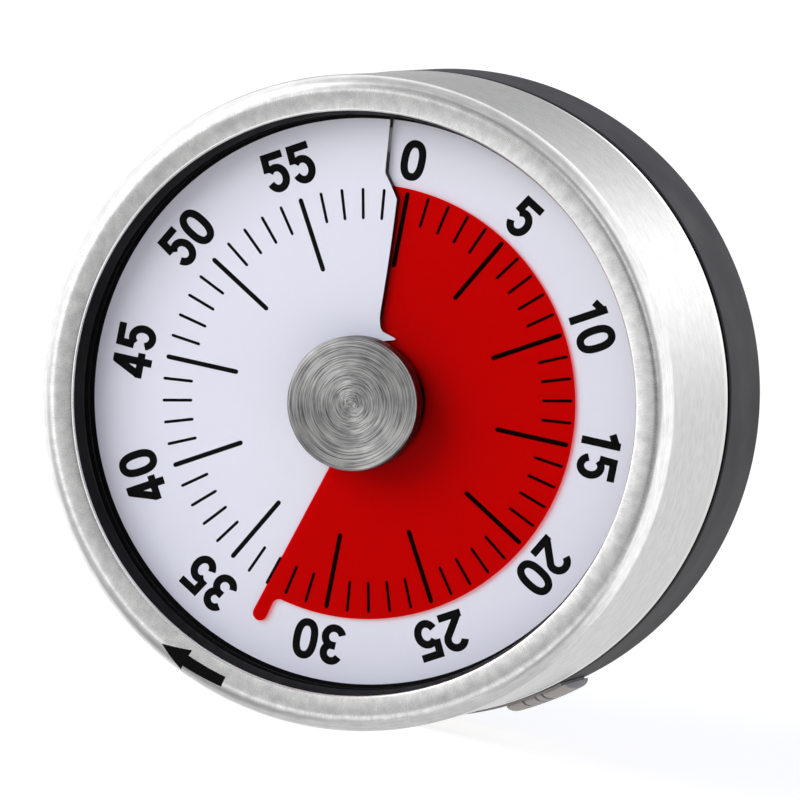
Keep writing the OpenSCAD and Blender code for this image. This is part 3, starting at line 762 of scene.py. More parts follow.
@dataclass
class Ring:
    """The steel shell with its liner, lens and clamp."""

    radius: float = 39.996
    back: float = 17.3
    front: float = 44.986
    wall: float = 0.7
    crest_r: float = 37.8
    edge: float = 2.2
    waist: float = 0.1
    hem: float = 0.08
    flare: float = 1.1
    lip_facing: float = 0.93
    lip_r: float = 35.5
    lip_dish: float = 0.12
    lip_break: float = 0.25
    liner_r: float = 39.28
    bore_r: float = 37.7
    liner_back: float = 17.6
    sight_r: float = 35.02
    lens_bore_r: float = 36.045
    shelf: float = 37.0
    lens_r: float = 35.995
    lens_hole_r: float = 4.02
    lens_back: float = 40.1
    lens_front: float = 41.5
    lens_seat: float = 41.52
    clamp_r: float = 36.02
    clamp_in: float = 34.92
    clamp_back: float = 39.68
    clamp_front: float = 40.08
    clamp_break: float = 0.08
    slope_foot: float = 42.4
    liner_front: float = 44.28
    liner_chamfer: float = 2.19
    edge_break: float = 0.12
    print_lift: float = 0.012
    # The arrow's inner radius, outer radius and clockwise angle; the shaft ends under the head.
    arrow_tail: tuple[float, float, float] = (37.08, 38.44, 194.1)
    arrow_neck: tuple[float, float, float] = (37.22, 38.76, 202.5)
    arrow_barbs: tuple[float, float, float] = (36.43, 39.36, 202.3)
    arrow_tip: tuple[float, float, float] = (38.13, 38.13, 207.8)

    def lip_level(self, radius: float) -> float:
        """Gives the level of the shell's front: the dished lip, then the rounding.

        Args:
            radius: distance from the axis.

        Returns:
            The level above the back.
        """
        if radius > self.crest_r:
            share = (radius - self.crest_r) / (self.radius - self.waist - self.crest_r)
            return self.front - self.edge + self.edge * math.sqrt(1 - share ** 2)
        inwards = (self.crest_r - radius) / (self.crest_r - self.lip_r)
        return self.front - self.lip_dish * inwards ** 2

    def build_shell(self) -> Piece:
        """Spins the drawn shell: wall, rounded front edge, lip and rear edge.

        Returns:
            The shell.
        """
        inner, inner_edge = self.radius - self.wall, self.edge - self.wall
        outside = arc(self.crest_r, self.front - self.edge, self.radius - self.waist - self.crest_r,
                      self.edge, 0, 90, 24)
        inside = arc(inner - inner_edge, self.front - self.edge, inner_edge, inner_edge, 90, 0, 10)
        lip = self.lip_r + self.lip_break
        nose = arc(lip, self.lip_level(lip) - self.lip_break, self.lip_break, self.lip_break,
                   90, 180, 5)
        flare = [(self.radius - self.waist * (i / 5) * (2 - i / 5),
                  self.back + self.hem + self.flare * i / 5) for i in range(6)]
        dish = [(r, self.lip_level(r)) for r in
                (self.crest_r + (lip - self.crest_r) * i / 8 for i in range(1, 8))]
        profile = [(inner, self.back), (self.radius - self.waist, self.back), *flare, *outside,
                   *dish, *nose, (self.lip_r, self.front - self.wall), *inside]
        piece = lathe("steel_shell_brushed", profile, 360)
        smooth(piece)
        crossed, bright = [], []
        for face in piece.data.polygons:
            radius, level = AXIS.radius(face.center), AXIS.level(face.center)
            if radius < lip or level < self.back + self.hem + self.flare:
                bright.append(face.index)
            elif -face.normal.y > self.lip_facing:
                crossed.append(face.index)
        return place_piece(piece, Body.RING, SHELL_SIDE, ["steel_shell"],
                           {SHELL_LIP: crossed, SHELL_EDGE: bright})

    def build_liner(self) -> Piece:
        """Spins the black liner and breaks its edges.

        Returns:
            The liner.
        """
        profile = [
            (self.bore_r, self.liner_back), (self.liner_r, self.liner_back),
            (self.liner_r, self.liner_front - self.liner_chamfer),
            (self.liner_r - self.liner_chamfer, self.liner_front), (self.lip_r, self.liner_front),
            (self.sight_r, self.slope_foot), (self.sight_r, self.lens_seat),
            (self.lens_bore_r, self.lens_seat), (self.lens_bore_r, self.shelf),
            (self.bore_r, self.shelf)]
        piece = lathe("ring_liner_black", profile, 256)
        round_edges(piece, self.edge_break, 2)
        smooth(piece)
        return place_piece(piece, Body.RING, LINER_BLACK_AND_NECK_SHADE, ["ring_liner"])

    def build_lens(self) -> Piece:
        """Spins the clear lens with its broken edges.

        Returns:
            The lens.
        """
        profile = [(self.lens_hole_r, self.lens_back), (self.lens_r, self.lens_back),
                   (self.lens_r, self.lens_front), (self.lens_hole_r, self.lens_front)]
        piece = lathe("front_lens_clear", profile, 192)
        round_edges(piece, self.edge_break, 2)
        smooth(piece)
        return place_piece(piece, Body.RING, LENS_ACRYLIC, ["lens"])

    def build_clamp(self) -> Piece:
        """Spins the spring ring that holds the lens from behind.

        Returns:
            The clamp ring.
        """
        profile = [(self.clamp_in, self.clamp_back), (self.clamp_r, self.clamp_back),
                   (self.clamp_r, self.clamp_front), (self.clamp_in, self.clamp_front)]
        piece = lathe("lens_clamp_ring", profile, 192)
        round_edges(piece, self.clamp_break, 2)
        smooth(piece)
        return place_piece(piece, Body.RING, LINER_BLACK_AND_NECK_SHADE, ["lens_clamp"])

    def build_arrow(self) -> Piece:
        """Prints the winding arrow on the lip: a shaft that follows the ring and a barbed head.

        Returns:
            The arrow.
        """
        def on_lip(radius: float, turn: float) -> Vector:
            """Gives a point just above the lip."""
            return AXIS.clock(radius, turn, self.lip_level(radius) + self.print_lift)

        def between(start: tuple[float, float, float], stop: tuple[float, float, float],
                    u: float, v: float) -> Vector:
            """Gives the point u of the way from one end to the other and v of the way out."""
            inner, outer, turn = (a + (b - a) * u for a, b in zip(start, stop))
            return on_lip(inner + (outer - inner) * v, turn)

        def shaft(u: float, v: float) -> Vector:
            """Gives a point of the shaft."""
            return between(self.arrow_tail, self.arrow_neck, u, v)

        def head(u: float, v: float) -> Vector:
            """Gives a point of the head."""
            return between(self.arrow_barbs, self.arrow_tip, u, v)

        piece = join("winding_arrow_print", [sheet("arrow_shaft", 24, 8, shaft),
                                             sheet("arrow_head", 16, 12, head)])
        return place_piece(piece, Body.RING, PRINT_INK_AND_SHADE)

    def build(self) -> None:
        """Builds every piece of the ring."""
        self.build_shell()
        self.build_liner()
        self.build_lens()
        self.build_clamp()
        self.build_arrow()


# ---------------------------------------------------------------------------------------------
# The knob


@dataclass
class Knob:
    """The turned cap on its coloured hub."""

    radius: float = 8.2
    wall: float = 0.8
    back: float = 42.12
    front: float = 45.0
    edge: float = 0.4
    dimple_r: float = 0.6
    dimple: float = 0.15
    groove_w: float = 0.17
    grooves: tuple[tuple[float, float], ...] = (
        (3.1, 0.012), (2.35, 0.02), (1.8, 0.03), (1.35, 0.04), (0.9, 0.05))
    skirt_facing: tuple[float, float] = (-1.0, 0.3)
    hub_break: float = 0.12
    flange_r: float = 8.05
    flange_back: float = 41.52
    flange_front: float = 42.1
    stem_r: float = 4.0
    stem_back: float = 39.6
    spigot_r: float = 7.38
    spigot_front: float = 44.1
    bore_r: float = 2.02
    bore_front: float = 43.4

    def build_cap(self) -> Piece:
        """Spins the cap: skirt, rounded edge, face, fine rings and the lathe's centre mark.

        Returns:
            The cap.
        """
        edge = arc(self.radius - self.edge, self.front - self.edge, self.edge, self.edge, 0, 90, 8)
        mark = arc(0, self.front, self.dimple_r, self.dimple, 0, -90, 6)
        rings = [(r + self.groove_w * side, self.front - (deep if side == 0 else 0))
                 for r, deep in self.grooves for side in (1, 0, -1)]
        inner = self.radius - self.wall
        profile = [(inner, self.back), (self.radius, self.back), *edge, *rings, *mark,
                   (0, self.front - self.wall), (inner, self.front - self.wall)]
        piece = lathe("knob_cap_turned", profile, 192)
        smooth(piece, 40)
        # The skirt's faces take the near-black finish: painted shade on the knob's side.
        return place_piece(piece, Body.RING, CAP_FACE, ["knob_cap"],
                           {SKIRT_PAINTED_SHADE: faces_between(piece, self.skirt_facing)})

    def build_hub(self) -> Piece:
        """Spins the hub: stem, coloured flange and the spigot inside the cap.

        Returns:
            The hub.
        """
        profile = [
            (self.bore_r, self.stem_back), (self.stem_r, self.stem_back),
            (self.stem_r, self.flange_back), (self.flange_r, self.flange_back),
            (self.flange_r, self.flange_front), (self.spigot_r, self.flange_front),
            (self.spigot_r, self.spigot_front), (0, self.spigot_front), (0, self.bore_front),
            (self.bore_r, self.bore_front)]
        piece = lathe("knob_hub_red", profile, 160)
        round_edges(piece, self.hub_break, 2)
        smooth(piece)
        # The flange's near-black red is partly painted shade under the cap.
        return place_piece(piece, Body.RING, RED_HUB_PAINTED_SHADE, ["knob_hub"])

    def build(self) -> None:
        """Builds both pieces of the knob."""
        self.build_cap()
        self.build_hub()


# ---------------------------------------------------------------------------------------------
# The dial and its time disc


@dataclass
class Digits:
    """Centre lines of the dial's numerals, a bold condensed hand without serifs."""

    half_w: float = 1.08
    half_h: float = 2.03
    stroke: float = 0.95
    advance: float = 3.45

    def strokes(self, digit: str) -> list[Profile]:
        """Lists the strokes of a digit.

        Args:
            digit: one character from 0 to 5.

        Returns:
            The centre lines in millimetres, round the digit's own centre.
        """
        w, h = self.half_w, self.half_h
        if digit == "0":
            turns = [math.tau * i / 40 for i in range(41)]
            return [[(w * math.copysign(abs(math.cos(a)) ** 0.85, math.cos(a)),
                      h * math.copysign(abs(math.sin(a)) ** 0.8, math.sin(a))) for a in turns]]
        if digit == "1":
            return [[(0.45, h + 0.47), (0.45, -h - 0.47)], [(0.3, h - 0.15), (-0.85, h - 0.8)]]
        if digit == "2":
            hook = arc(-0.02, h - 1.08, w, 1.08, 165, -28, 16)
            return [hook + [(-0.75, -h + 0.45), (-1.0, -h + 0.1)],
                    [(-w - 0.42, -h), (w + 0.42, -h)]]
        if digit == "3":
            upper = arc(-0.08, h - 1.0, w - 0.08, 1.0, 160, -62, 16)
            lower = arc(-0.05, -h + 1.08, w, 1.08, 68, -162, 18)
            return [upper, lower, [(-0.45, 0.12), (0.55, 0.1)]]
        if digit == "4":
            return [[(0.5, h + 0.47), (0.5, -h - 0.47)], [(0.35, h + 0.2), (-1.1, -0.95)],
                    [(-w - 0.47, -1.05), (w + 0.47, -1.05)]]
        bowl = arc(-0.03, -h + 1.3, w, 1.3, 138, -160, 20)
        return [[(-w + 0.1, h), (w + 0.3, h)], [(-w + 0.15, h + 0.47), (-w + 0.02, 0.2)], bowl]


@dataclass
class Dial:
    """The slit dial sheet that climbs clockwise, its scale and the coloured time disc."""

    hole_r: float = 7.6
    radius: float = 34.5
    # The band from the dial's edge out to the next radius is inked black: painted shade for the
    # dark gap in front of the liner.
    border_r: float = 35.5
    border_seam: float = 0.06
    sheet_steps: int = 240
    sheet_rows: int = 24
    # Faces turned away from the reader take black ink: painted shade, the dark line along the slit.
    rear_facing: tuple[float, float] = (-1.0, 0.5)
    low: float = 38.35
    rise: float = 1.1
    thick: float = 0.006
    slit_w: float = 0.12
    slit: Profile = field(default_factory=lambda: [
        (7.6, -0.5), (9.8, 0.0), (25.0, -1.6), (28.0, -5.7), (34.5, -5.7)])
    tick_out: float = 25.9
    minor_in: float = 22.08
    major_in: float = 16.53
    minor_w: float = 0.38
    major_w: float = 0.6
    number_r: float = 29.95
    print_shift: tuple[float, float] = (0.1, 0.15)
    print_lift: float = 0.003
    film_in: float = 6.02
    film_r: float = 26.5
    reach: float = 30.1
    tab_w: float = 1.9
    tab_fillet: float = 0.9
    film_sweep: float = 354.0
    film_steps: int = 220
    film_rows: int = 16
    lead: float = 197.4
    # The film must lie under the sheet when it is run down and over it when it is wound right up,
    # which leaves a few thousandths of a millimetre for both.
    film_t: float = 0.002
    film_drop: float = 0.0118
    tongue_share: float = 0.025
    tongue: Profile = field(default_factory=lambda: [
        (7.6, 3.5), (7.83, 8.7), (8.1, 12.2), (8.35, 15.2), (8.5, 16.6), (8.6, 17.1),
        (8.66, 16.6), (8.7, 15.0), (8.76, 9.5), (8.87, 5.0), (9.2, 2.7), (9.6, 1.5),
        (10.3, 0.4), (11.0, 0.0)])
    digits: Digits = field(default_factory=Digits)

    def tongue_turn(self, radius: float) -> float:
        """Gives how far the upper end of the sheet reaches over the slit, in degrees."""
        return turn_along(self.tongue, radius)

    def slit_turn(self, radius: float) -> float:
        """Gives the slit's clockwise angle in degrees at a radius in millimetres."""
        return turn_along(self.slit, radius)

    def level(self, radius: float, turn: float) -> float:
        """Gives the dial's level at a radius and a clockwise angle."""
        start = self.slit_turn(radius)
        return self.low + self.rise * ((turn - start) % 360 + start) / 360

    def build_sheet(self) -> Piece:
        """Lays the dial out as a screw surface and gives it its thickness.

        Returns:
            The dial sheet.
        """
        radii = [self.hole_r + (self.radius - self.hole_r) * i / self.sheet_rows
                 for i in range(self.sheet_rows + 1)]
        radii += [r for r, _ in self.slit] + [r for r, _ in self.tongue]
        radii = sorted({round(r, 3) for r in radii}
                       | {self.radius + self.border_seam, self.border_r})

        def place(u: float, v: float) -> Vector:
            """Gives the point u of the way round from slit to slit and v of the way out."""
            radius = radii[round(v * (len(radii) - 1))]
            gap = math.degrees(self.slit_w / radius)
            hook = self.tongue_turn(radius) * max(0.0, 1 - (1 - u) / self.tongue_share)
            turn = self.slit_turn(radius) + (360 - gap) * u + hook
            return AXIS.clock(radius, turn, self.low + self.rise * min(turn, 360) / 360)

        piece = sheet("dial_sheet_white", self.sheet_steps, len(radii) - 1, place)
        modify(piece, "SOLIDIFY", thickness=self.thick * MM, offset=-1.0)
        smooth(piece)
        # The sheet's edges and back are inked black as painted shade: the dark line at the slit
        # under the raised lip.
        dark = set(faces_between(piece, self.rear_facing))
        # The band beyond the dial's edge also takes the ink: painted shade for the gap before the
        # liner.
        dark |= {face.index for face in piece.data.polygons
                 if AXIS.radius(face.center) > self.radius}
        return place_piece(piece, Body.BASE, DIAL_FILM, ["dial"], {PRINT_INK_AND_SHADE: sorted(dark)})

    def lay_ribbon(self, name: str, path: Profile, width: float,
                   spot: Callable[[float, float], tuple[float, float]]) -> Piece:
        """Lays a printed stroke on the dial.

        Args:
            name: name of the new piece.
            path: the stroke's centre line.
            width: its width in millimetres.
            spot: gives x and y on the dial for a point of the stroke's own drawing.

        Returns:
            The stroke as an open sheet just above the dial.
        """
        left, right = ribbon(path, width)

        def place(u: float, v: float) -> Vector:
            """Gives the point u of the way along the stroke and v of the way across."""
            i = round(u * (len(path) - 1))
            (x0, y0), (x1, y1) = right[i], left[i]
            x, y = spot(x0 + (x1 - x0) * v, y0 + (y1 - y0) * v)
            radius, turn = math.hypot(x, y), math.degrees(math.atan2(x, y))
            return AXIS.point(x, y, self.level(radius, turn) + self.print_lift)

        return sheet(name, len(path) - 1, 1, place)

    def build_ticks(self) -> Piece:
        """Prints the sixty minute marks with round ends, every fifth long and bold.

        Returns:
            The marks as one piece.
        """
        pieces = []
        for minute in range(60):
            major = minute % 5 == 0
            width = self.major_w if major else self.minor_w
            inner = self.major_in if major else self.minor_in
            turn = math.radians(6 * minute)
            half = width / 2
            cap = [(half * 0.98 * math.cos(a), half * math.sin(a))
                   for a in (math.radians(d) for d in (0, 30, 60, 80))]
            path = ([(0.0, inner + half - s) for _, s in reversed(cap)]
                    + [(0.0, self.tick_out - half + s) for _, s in cap])
            widths = [c for c, _ in reversed(cap)] + [c for c, _ in cap]

            def place(u: float, v: float, path: Profile = path, widths: list[float] = widths,
                      turn: float = turn, minute: int = minute) -> Vector:
                """Gives the point u of the way out along the mark and v of the way across."""
                i = round(u * (len(path) - 1))
                x, y = (v * 2 - 1) * widths[i], path[i][1]
                px = x * math.cos(turn) + y * math.sin(turn) + self.print_shift[0]
                py = y * math.cos(turn) - x * math.sin(turn) + self.print_shift[1]
                radius, angle = math.hypot(px, py), math.degrees(math.atan2(px, py))
                if minute == 0:
                    angle = max(angle, self.slit_turn(radius) + 0.01)
                return AXIS.point(px, py, self.level(radius, angle) + self.print_lift)

            pieces.append(sheet(f"mark_{minute}", len(path) - 1, 2, place))
        piece = join("dial_minute_marks", pieces)
        return place_piece(piece, Body.BASE, PRINT_INK_AND_SHADE)

    def build_numbers(self) -> Piece:
        """Prints the numbers from 0 to 55, their tops outwards.

        Returns:
            The numbers as one piece.
        """
        pieces = []
        for value in range(0, 60, 5):
            text = str(value)
            turn = math.radians(6 * value)
            for i, digit in enumerate(text):
                shift = (i - (len(text) - 1) / 2) * self.digits.advance

                def spot(x: float, y: float, shift: float = shift,
                         turn: float = turn) -> tuple[float, float]:
                    """Moves a point of the digit to its place on the dial."""
                    across, out = x + shift, y + self.number_r
                    return (across * math.cos(turn) + out * math.sin(turn),
                            out * math.cos(turn) - across * math.sin(turn))

                for j, path in enumerate(self.digits.strokes(digit)):
                    pieces.append(self.lay_ribbon(f"number_{value}_{i}_{j}", path,
                                                  self.digits.stroke, spot))
        piece = join("dial_numbers", pieces)
        return place_piece(piece, Body.BASE, PRINT_INK_AND_SHADE)

    def film_edge(self) -> Profile:
        """Lists the film's columns from its tab round to its tail.

        Returns:
            Each column as (angle behind the leading edge, outer radius).
        """
        tab = math.degrees(self.tab_w / self.reach)
        half = self.tab_w / 2
        tip = arc(0.5, self.reach - half, 0.5, half, 180, 0, 12)
        columns = [(tab * across, out) for across, out in tip]
        root = self.film_r + self.tab_fillet
        for across, out in arc(self.tab_fillet, root, self.tab_fillet, self.tab_fillet,
                               180, 270, 8):
            columns.append((tab + math.degrees(across / root), out))
        last = columns[-1][0]
        return columns + [(last + (self.film_sweep - last) * i / self.film_steps, self.film_r)
                          for i in range(1, self.film_steps + 1)]

    def build_film(self) -> Piece:
        """Lays the time disc out as a screw surface that passes through the slit.

        Returns:
            The time disc.
        """
        columns = self.film_edge()

        def place(u: float, v: float) -> Vector:
            """Gives the point u of the way from tab to tail and v of the way out."""
            behind, out = columns[round(u * (len(columns) - 1))]
            radius = self.film_in + (out - self.film_in) * v
            level = self.low + self.rise * (1 - behind / 360) - self.film_drop
            return AXIS.clock(radius, self.lead - behind, level)

        piece = sheet("time_disc_film", len(columns) - 1, self.film_rows, place)
        modify(piece, "SOLIDIFY", thickness=self.film_t * MM, offset=0.0)
        smooth(piece)
        return place_piece(piece, Body.RING, RED_FILM, ["time_disc"])

    def build(self) -> None:
        """Builds the dial, its print and the time disc."""
        self.build_sheet()
        self.build_ticks()
        self.build_numbers()
        self.build_film()


# ---------------------------------------------------------------------------------------------
# The base


@dataclass
class Base:
    """The moulded base with its foot and cover; its magnets and screws keep their imported solids.
    """

    radius: float = 39.996
    front: float = 15.5
    back_edge: float = 1.0
    wall: float = 2.2
    floor: float = 3.0
    deck: float = 4.8
    shoulder: float = 14.2
    neck_r: float = 37.62
    neck_in: float = 35.92
    neck_front: float = 34.0
    front_edge: float = 0.35
    strip_r: float = 40.3
    lobe_r: float = 41.3
    lobe_edge: float = 0.6
    foot_back: float = 2.8
    foot_front: float = 14.2
    lobes: tuple[tuple[float, float], ...] = (
        (27.2, 30.2), (30.5, 32.6), (32.9, 33.9), (34.2, 38.6))

    def build_cup(self) -> Piece:
        """Spins the cup: outer wall, floor, shoulder and the neck that the ring runs on.

        Returns:
            The cup.
        """
        inner = self.radius - self.wall
        edge = arc(self.radius - self.back_edge, self.back_edge, self.back_edge, self.back_edge,
                   -90, 0, 8)
        rim = arc(self.radius - self.front_edge, self.front - self.front_edge, self.front_edge,
                  self.front_edge, 0, 90, 4)
        profile = [
            (0, self.floor), (inner, self.floor), (inner, 0), *edge, *rim,
            (self.neck_r, self.front), (self.neck_r, self.neck_front),
            (self.neck_in, self.neck_front), (self.neck_in, self.shoulder),
            (inner, self.shoulder), (inner, self.deck), (0, self.deck)]
        piece = lathe("base_cup_charcoal", profile, 256)
        smooth(piece)
        # The neck, seen in the gap behind the ring, is given the black finish: painted shade in
        # that gap.
        neck = [face.index for face in piece.data.polygons
                if AXIS.level(face.center) > self.front - 0.05]
        return place_piece(piece, Body.BASE, BASE_PLASTIC, ["base_cup"],
                           {LINER_BLACK_AND_NECK_SHADE: neck})

    def build_foot(self) -> Piece:
        """Sweeps the foot pad: a thin strip under the base with ribbed lobes at both ends.

        Returns:
            The foot pad.
        """
        pieces = []
        middle = (self.foot_front + self.foot_back) / 2
        half = (self.foot_front - self.foot_back) / 2
        profile = arc(self.strip_r, middle, self.lobe_r - self.strip_r, half, -90, 90, 14)
        for right in (True, False):
            for near, far in self.lobes:
                start = 180 - far if right else 180 + near
                lobe = lathe("foot_lobe", profile, 12, start=start, sweep=far - near)
                round_edges(lobe, self.lobe_edge, 4)
                pieces.append(lobe)
        end = self.lobes[-1][1] - self.lobe_edge
        strip = lathe("foot_strip", [
            (self.radius + 0.02, self.foot_back), (self.strip_r, self.foot_back),
            (self.strip_r, self.foot_front), (self.radius + 0.02, self.foot_front)],
            64, start=180 - end, sweep=2 * end)
        piece = join("foot_pad_ribbed", [strip, *pieces])
        smooth(piece, 30)
        return place_piece(piece, Body.BASE, FOOT_RUBBER, ["foot_pad"])

    def build_cover(self) -> Piece:
        """Copies the back cover with its pockets and groove.

        Returns:
            The cover.
        """
        piece = copy_solid("back_cover", "back_cover_charcoal")
        smooth(piece, 25)
        return place_piece(piece, Body.BASE, BASE_PLASTIC, ["back_cover"])

    def build(self) -> None:
        """Builds every piece of the base."""
        self.build_cup()
        self.build_foot()
        self.build_cover()


# ---------------------------------------------------------------------------------------------
# Inside


@dataclass
class Inside:
    """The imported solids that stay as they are, with the finish of each."""

    finishes: dict[str, Finish] = field(default_factory=lambda: {
        **dict.fromkeys(["magnets"], MAGNET_FINISH),
        **dict.fromkeys(["cover_screws", "bell_screw", "movement_screws"], SCREW_FINISH),
        **dict.fromkeys(["bell"], BELL_FINISH),
        **dict.fromkeys(["rear_plate", "front_plate", "pillars", "pillar_nuts", "great_wheel",
                         "second_wheel", "third_wheel", "escape_wheel"], BRASS_FINISH),
        **dict.fromkeys(["mainspring"], SPRING_FINISH),
        **dict.fromkeys(["spring_stud", "main_arbor", "alarm_cam", "second_arbor", "third_arbor",
                         "escape_arbor", "pallet_lever", "pallet_arbor", "hammer",
                         "hammer_arbor"], ARBOR_FINISH),
        **dict.fromkeys(["dial_carrier"], CARRIER_PLASTIC),
        **dict.fromkeys(["disc_hub"], RED_HUB_PAINTED_SHADE),
    })

    def dress(self, nodes: dict[str, Piece]) -> None:
        """Gives each carried-over node its finish.

        Args:
            nodes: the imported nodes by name.
        """
        for name, finish in self.finishes.items():
            node = nodes[name]
            node.data.materials.clear()
            node.data.materials.append(finish.material())
            LOG.info("%s: packed solid in %s", name, finish.name)


# ---------------------------------------------------------------------------------------------
# The studio


@dataclass(frozen=True)
class Patch:
    """A soft round patch of the room, as polished things mirror it.

    The bearing is counted from the reader's side of the timer towards its right.
    """

    bearing: float
    elevation: float
    inner: float
    outer: float
    level: float

    def share(self, tree: bpy.types.NodeTree,
              towards: bpy.types.NodeSocket) -> bpy.types.NodeSocket:
        """Builds the patch's factor, its level inside and 1 outside.

        Args:
            tree: the node tree.
            towards: the direction away from the timer, of length 1.

        Returns:
            The factor as a socket.
        """
        a, e = math.radians(self.bearing), math.radians(self.elevation)
        centre = (math.sin(a) * math.cos(e), -math.cos(a) * math.cos(e), math.sin(e))
        near = add_node(tree, "VectorMath", {0: towards, 1: centre}, operation="DOT_PRODUCT")
        return add_node(tree, "MapRange", {
            "Value": near.outputs["Value"], 1: math.cos(math.radians(self.outer)),
            2: math.cos(math.radians(self.inner)), 3: 1.0, 4: self.level},
            interpolation_type="SMOOTHSTEP").outputs[0]


@dataclass(frozen=True)
class Lamp:
    """A large soft lamp far away."""

    name: str
    power: float
    colour: tuple[float, float, float]
    come_from: tuple[float, float, float]
    width: float

    def build(self) -> None:
        """Hangs the lamp; its width is an angle in degrees."""
        deselect()
        bpy.ops.object.light_add(type="SUN")
        lamp = bpy.context.object
        lamp.name = self.name
        lamp.data.energy = self.power
        lamp.data.color = self.colour
        lamp.data.angle = math.radians(self.width)
        lamp.visible_glossy = False
        lamp.rotation_mode = "QUATERNION"
        lamp.rotation_quaternion = (-Vector(self.come_from)).to_track_quat("-Z", "Y")


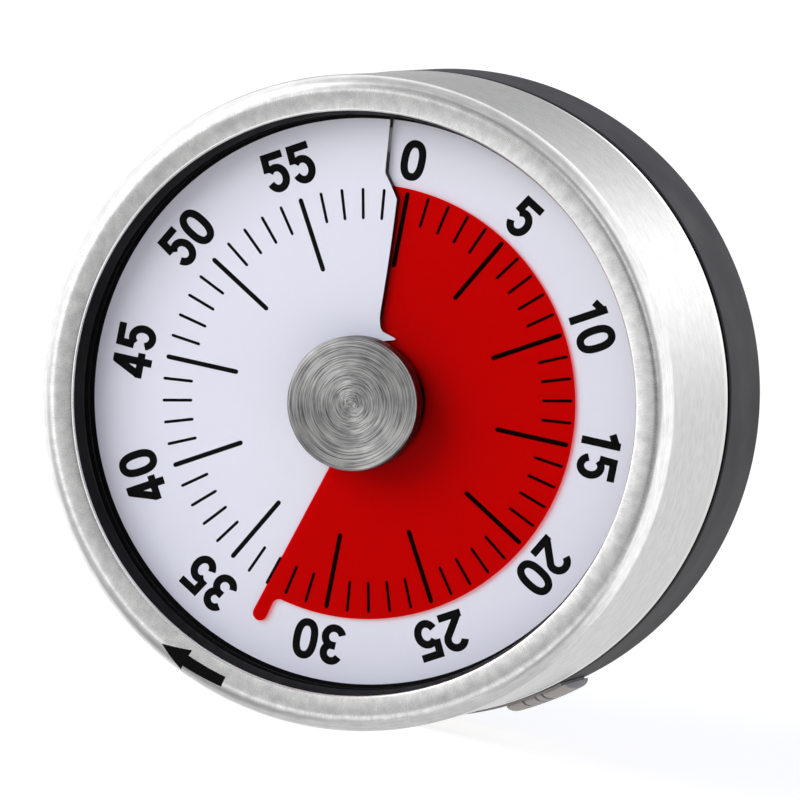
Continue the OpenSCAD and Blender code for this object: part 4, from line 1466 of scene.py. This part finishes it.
@dataclass
class Studio:
    """White sweep, soft light from the upper left and the camera."""

    ambient: tuple[float, float, float] = (0.23, 0.245, 0.37)
    room: float = 1.25
    # What the metal mirrors: dark patches beside bright ones give the steel its bands of light.
    patches: tuple[Patch, ...] = (
        Patch(2.0, 0.0, 10.0, 18.0, 0.12), Patch(-5.0, 0.0, 18.0, 42.0, 0.92),
        Patch(-15.2, -5.8, 3.5, 6.5, 0.06), Patch(-37.0, -1.0, 8.0, 20.0, 1.35),
        Patch(20.0, -6.0, 8.0, 16.0, 0.3),
        Patch(10.0, 46.0, 5.0, 16.0, 0.45), Patch(28.0, 33.0, 6.0, 18.0, 0.3),
        Patch(36.0, 12.0, 5.0, 17.0, 0.4), Patch(34.0, -36.0, 6.0, 18.0, 0.4),
        Patch(-50.0, 28.0, 8.0, 26.0, 2.0), Patch(168.0, -20.0, 18.0, 38.0, 0.62),
        Patch(172.0, 18.0, 6.0, 20.0, 1.3), Patch(-166.0, 14.0, 10.0, 24.0, 0.35),
        Patch(-15.0, 36.0, 10.0, 26.0, 0.3), Patch(0.0, 90.0, 20.0, 45.0, 0.5),
        Patch(-55.0, -38.0, 15.0, 38.0, 0.5), Patch(0.0, -90.0, 35.0, 62.0, 0.55))
    lamps: tuple[Lamp, ...] = (
        Lamp("soft_key", 2.3, (1.0, 0.985, 0.95), (-0.8, -1.0, 0.45), 45.0),
        Lamp("soft_fill", 1.1, (1.0, 0.99, 0.97), (0.05, -1.0, -0.1), 45.0),
        Lamp("soft_back", 0.9, (1.0, 1.0, 1.0), (0.3, 1.0, 0.35), 60.0))
    camera_at: tuple[float, float, float] = (0.321683, -1.183366, 0.163690)
    camera_aim: tuple[float, float, float] = (0.004252, -0.016400, 0.041413)
    camera_roll: float = 11.013
    lens: float = 450.0
    floor_size: float = 12.0
    # The floor throws a warm light back at the timer; the camera sees it white, with a shadow.
    paper: tuple[float, float, float] = (0.7, 0.68, 0.62)
    bounce: tuple[float, float, float] = (1.0, 0.91, 0.72)
    floor_grey: tuple[float, float, float] = (0.35, 0.35, 0.35)
    floor_glow: float = 0.85

    def mirrored(self, tree: bpy.types.NodeTree,
                 towards: bpy.types.NodeSocket) -> bpy.types.NodeSocket:
        """Builds the brightness that polished things mirror from a direction.

        Args:
            tree: the node tree.
            towards: the direction away from the timer, of length 1.

        Returns:
            The brightness as a socket.
        """
        level = self.room
        for patch in self.patches:
            level = add_node(tree, "Math", {0: level, 1: patch.share(tree, towards)},
                             operation="MULTIPLY").outputs[0]
        return level

    def build_world(self) -> None:
        """Builds the soft surround: white where it is seen, pale where it lights."""
        world = bpy.data.worlds.new("soft_studio")
        world.use_nodes = True
        bpy.context.scene.world = world
        tree = world.node_tree
        tree.nodes.clear()
        path = add_node(tree, "LightPath")
        lighting = add_node(tree, "Background", {"Color": (*self.ambient, 1), "Strength": 1.0})
        towards = add_node(tree, "TexCoord").outputs["Generated"]
        mirrored = add_node(tree, "Background", {
            "Color": (1, 1, 1, 1), "Strength": self.mirrored(tree, towards)})
        seen = add_node(tree, "Background", {"Color": (1, 1, 1, 1), "Strength": 1.0})
        first = add_node(tree, "MixShader", {
            0: path.outputs["Is Glossy Ray"], 1: lighting.outputs[0], 2: mirrored.outputs[0]})
        looked = add_node(tree, "Math", {
            0: path.outputs["Is Camera Ray"], 1: path.outputs["Is Transmission Ray"]},
            operation="MAXIMUM")
        last = add_node(tree, "MixShader", {
            0: looked.outputs[0], 1: first.outputs[0], 2: seen.outputs[0]})
        add_node(tree, "OutputWorld", {"Surface": last.outputs[0]})

    def build_floor(self) -> None:
        """Lays the pale floor, which keeps the timer's soft shadow."""
        deselect()
        bpy.ops.mesh.primitive_plane_add(size=self.floor_size)
        floor = bpy.context.object
        floor.name = "studio_floor"
        made = bpy.data.materials.new("white_paper_sweep")
        made.use_nodes = True
        tree = made.node_tree
        tree.nodes.clear()
        path = add_node(tree, "LightPath")
        paper = add_node(tree, "BsdfDiffuse", {"Color": (*self.paper, 1)})
        bounce = add_node(tree, "Emission", {"Color": (*self.bounce, 1), "Strength": 0.5})
        lit = add_node(tree, "BsdfDiffuse", {"Color": (*self.floor_grey, 1)})
        glow = add_node(tree, "Emission", {"Color": (1, 1, 1, 1), "Strength": self.floor_glow})
        under = add_node(tree, "AddShader", {0: paper.outputs[0], 1: bounce.outputs[0]})
        shown = add_node(tree, "AddShader", {0: lit.outputs[0], 1: glow.outputs[0]})
        mixed = add_node(tree, "MixShader", {
            0: path.outputs["Is Camera Ray"], 1: under.outputs[0], 2: shown.outputs[0]})
        add_node(tree, "OutputMaterial", {"Surface": mixed.outputs[0]})
        floor.data.materials.append(made)
        floor.visible_glossy = False

    def build_camera(self) -> None:
        """Sets the long lens up a little right of and above the axis, rolled with the timer."""
        deselect()
        bpy.ops.object.camera_add()
        camera = bpy.context.object
        camera.name = "long_lens"
        camera.data.sensor_width = 36.0
        camera.data.lens = self.lens
        camera.location = self.camera_at
        sight = Vector(self.camera_aim) - Vector(self.camera_at)
        camera.rotation_mode = "QUATERNION"
        camera.rotation_quaternion = (sight.to_track_quat("-Z", "Y")
                                      @ Quaternion((0, 0, 1), math.radians(self.camera_roll)))
        bpy.context.scene.camera = camera

    def build(self) -> None:
        """Sets the whole studio up."""
        bpy.context.scene.view_settings.view_transform = "Standard"
        self.build_world()
        self.build_floor()
        for lamp in self.lamps:
            lamp.build()
        self.build_camera()


def main() -> None:
    """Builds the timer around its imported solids."""
    logging.basicConfig(level=logging.INFO, format="%(name)s: %(message)s")
    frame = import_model()
    Studio().build()
    Base().build()
    Ring().build()
    Knob().build()
    Dial().build()
    Inside().dress(frame["nodes"])
    deselect()


if __name__ == "__main__":
    main()
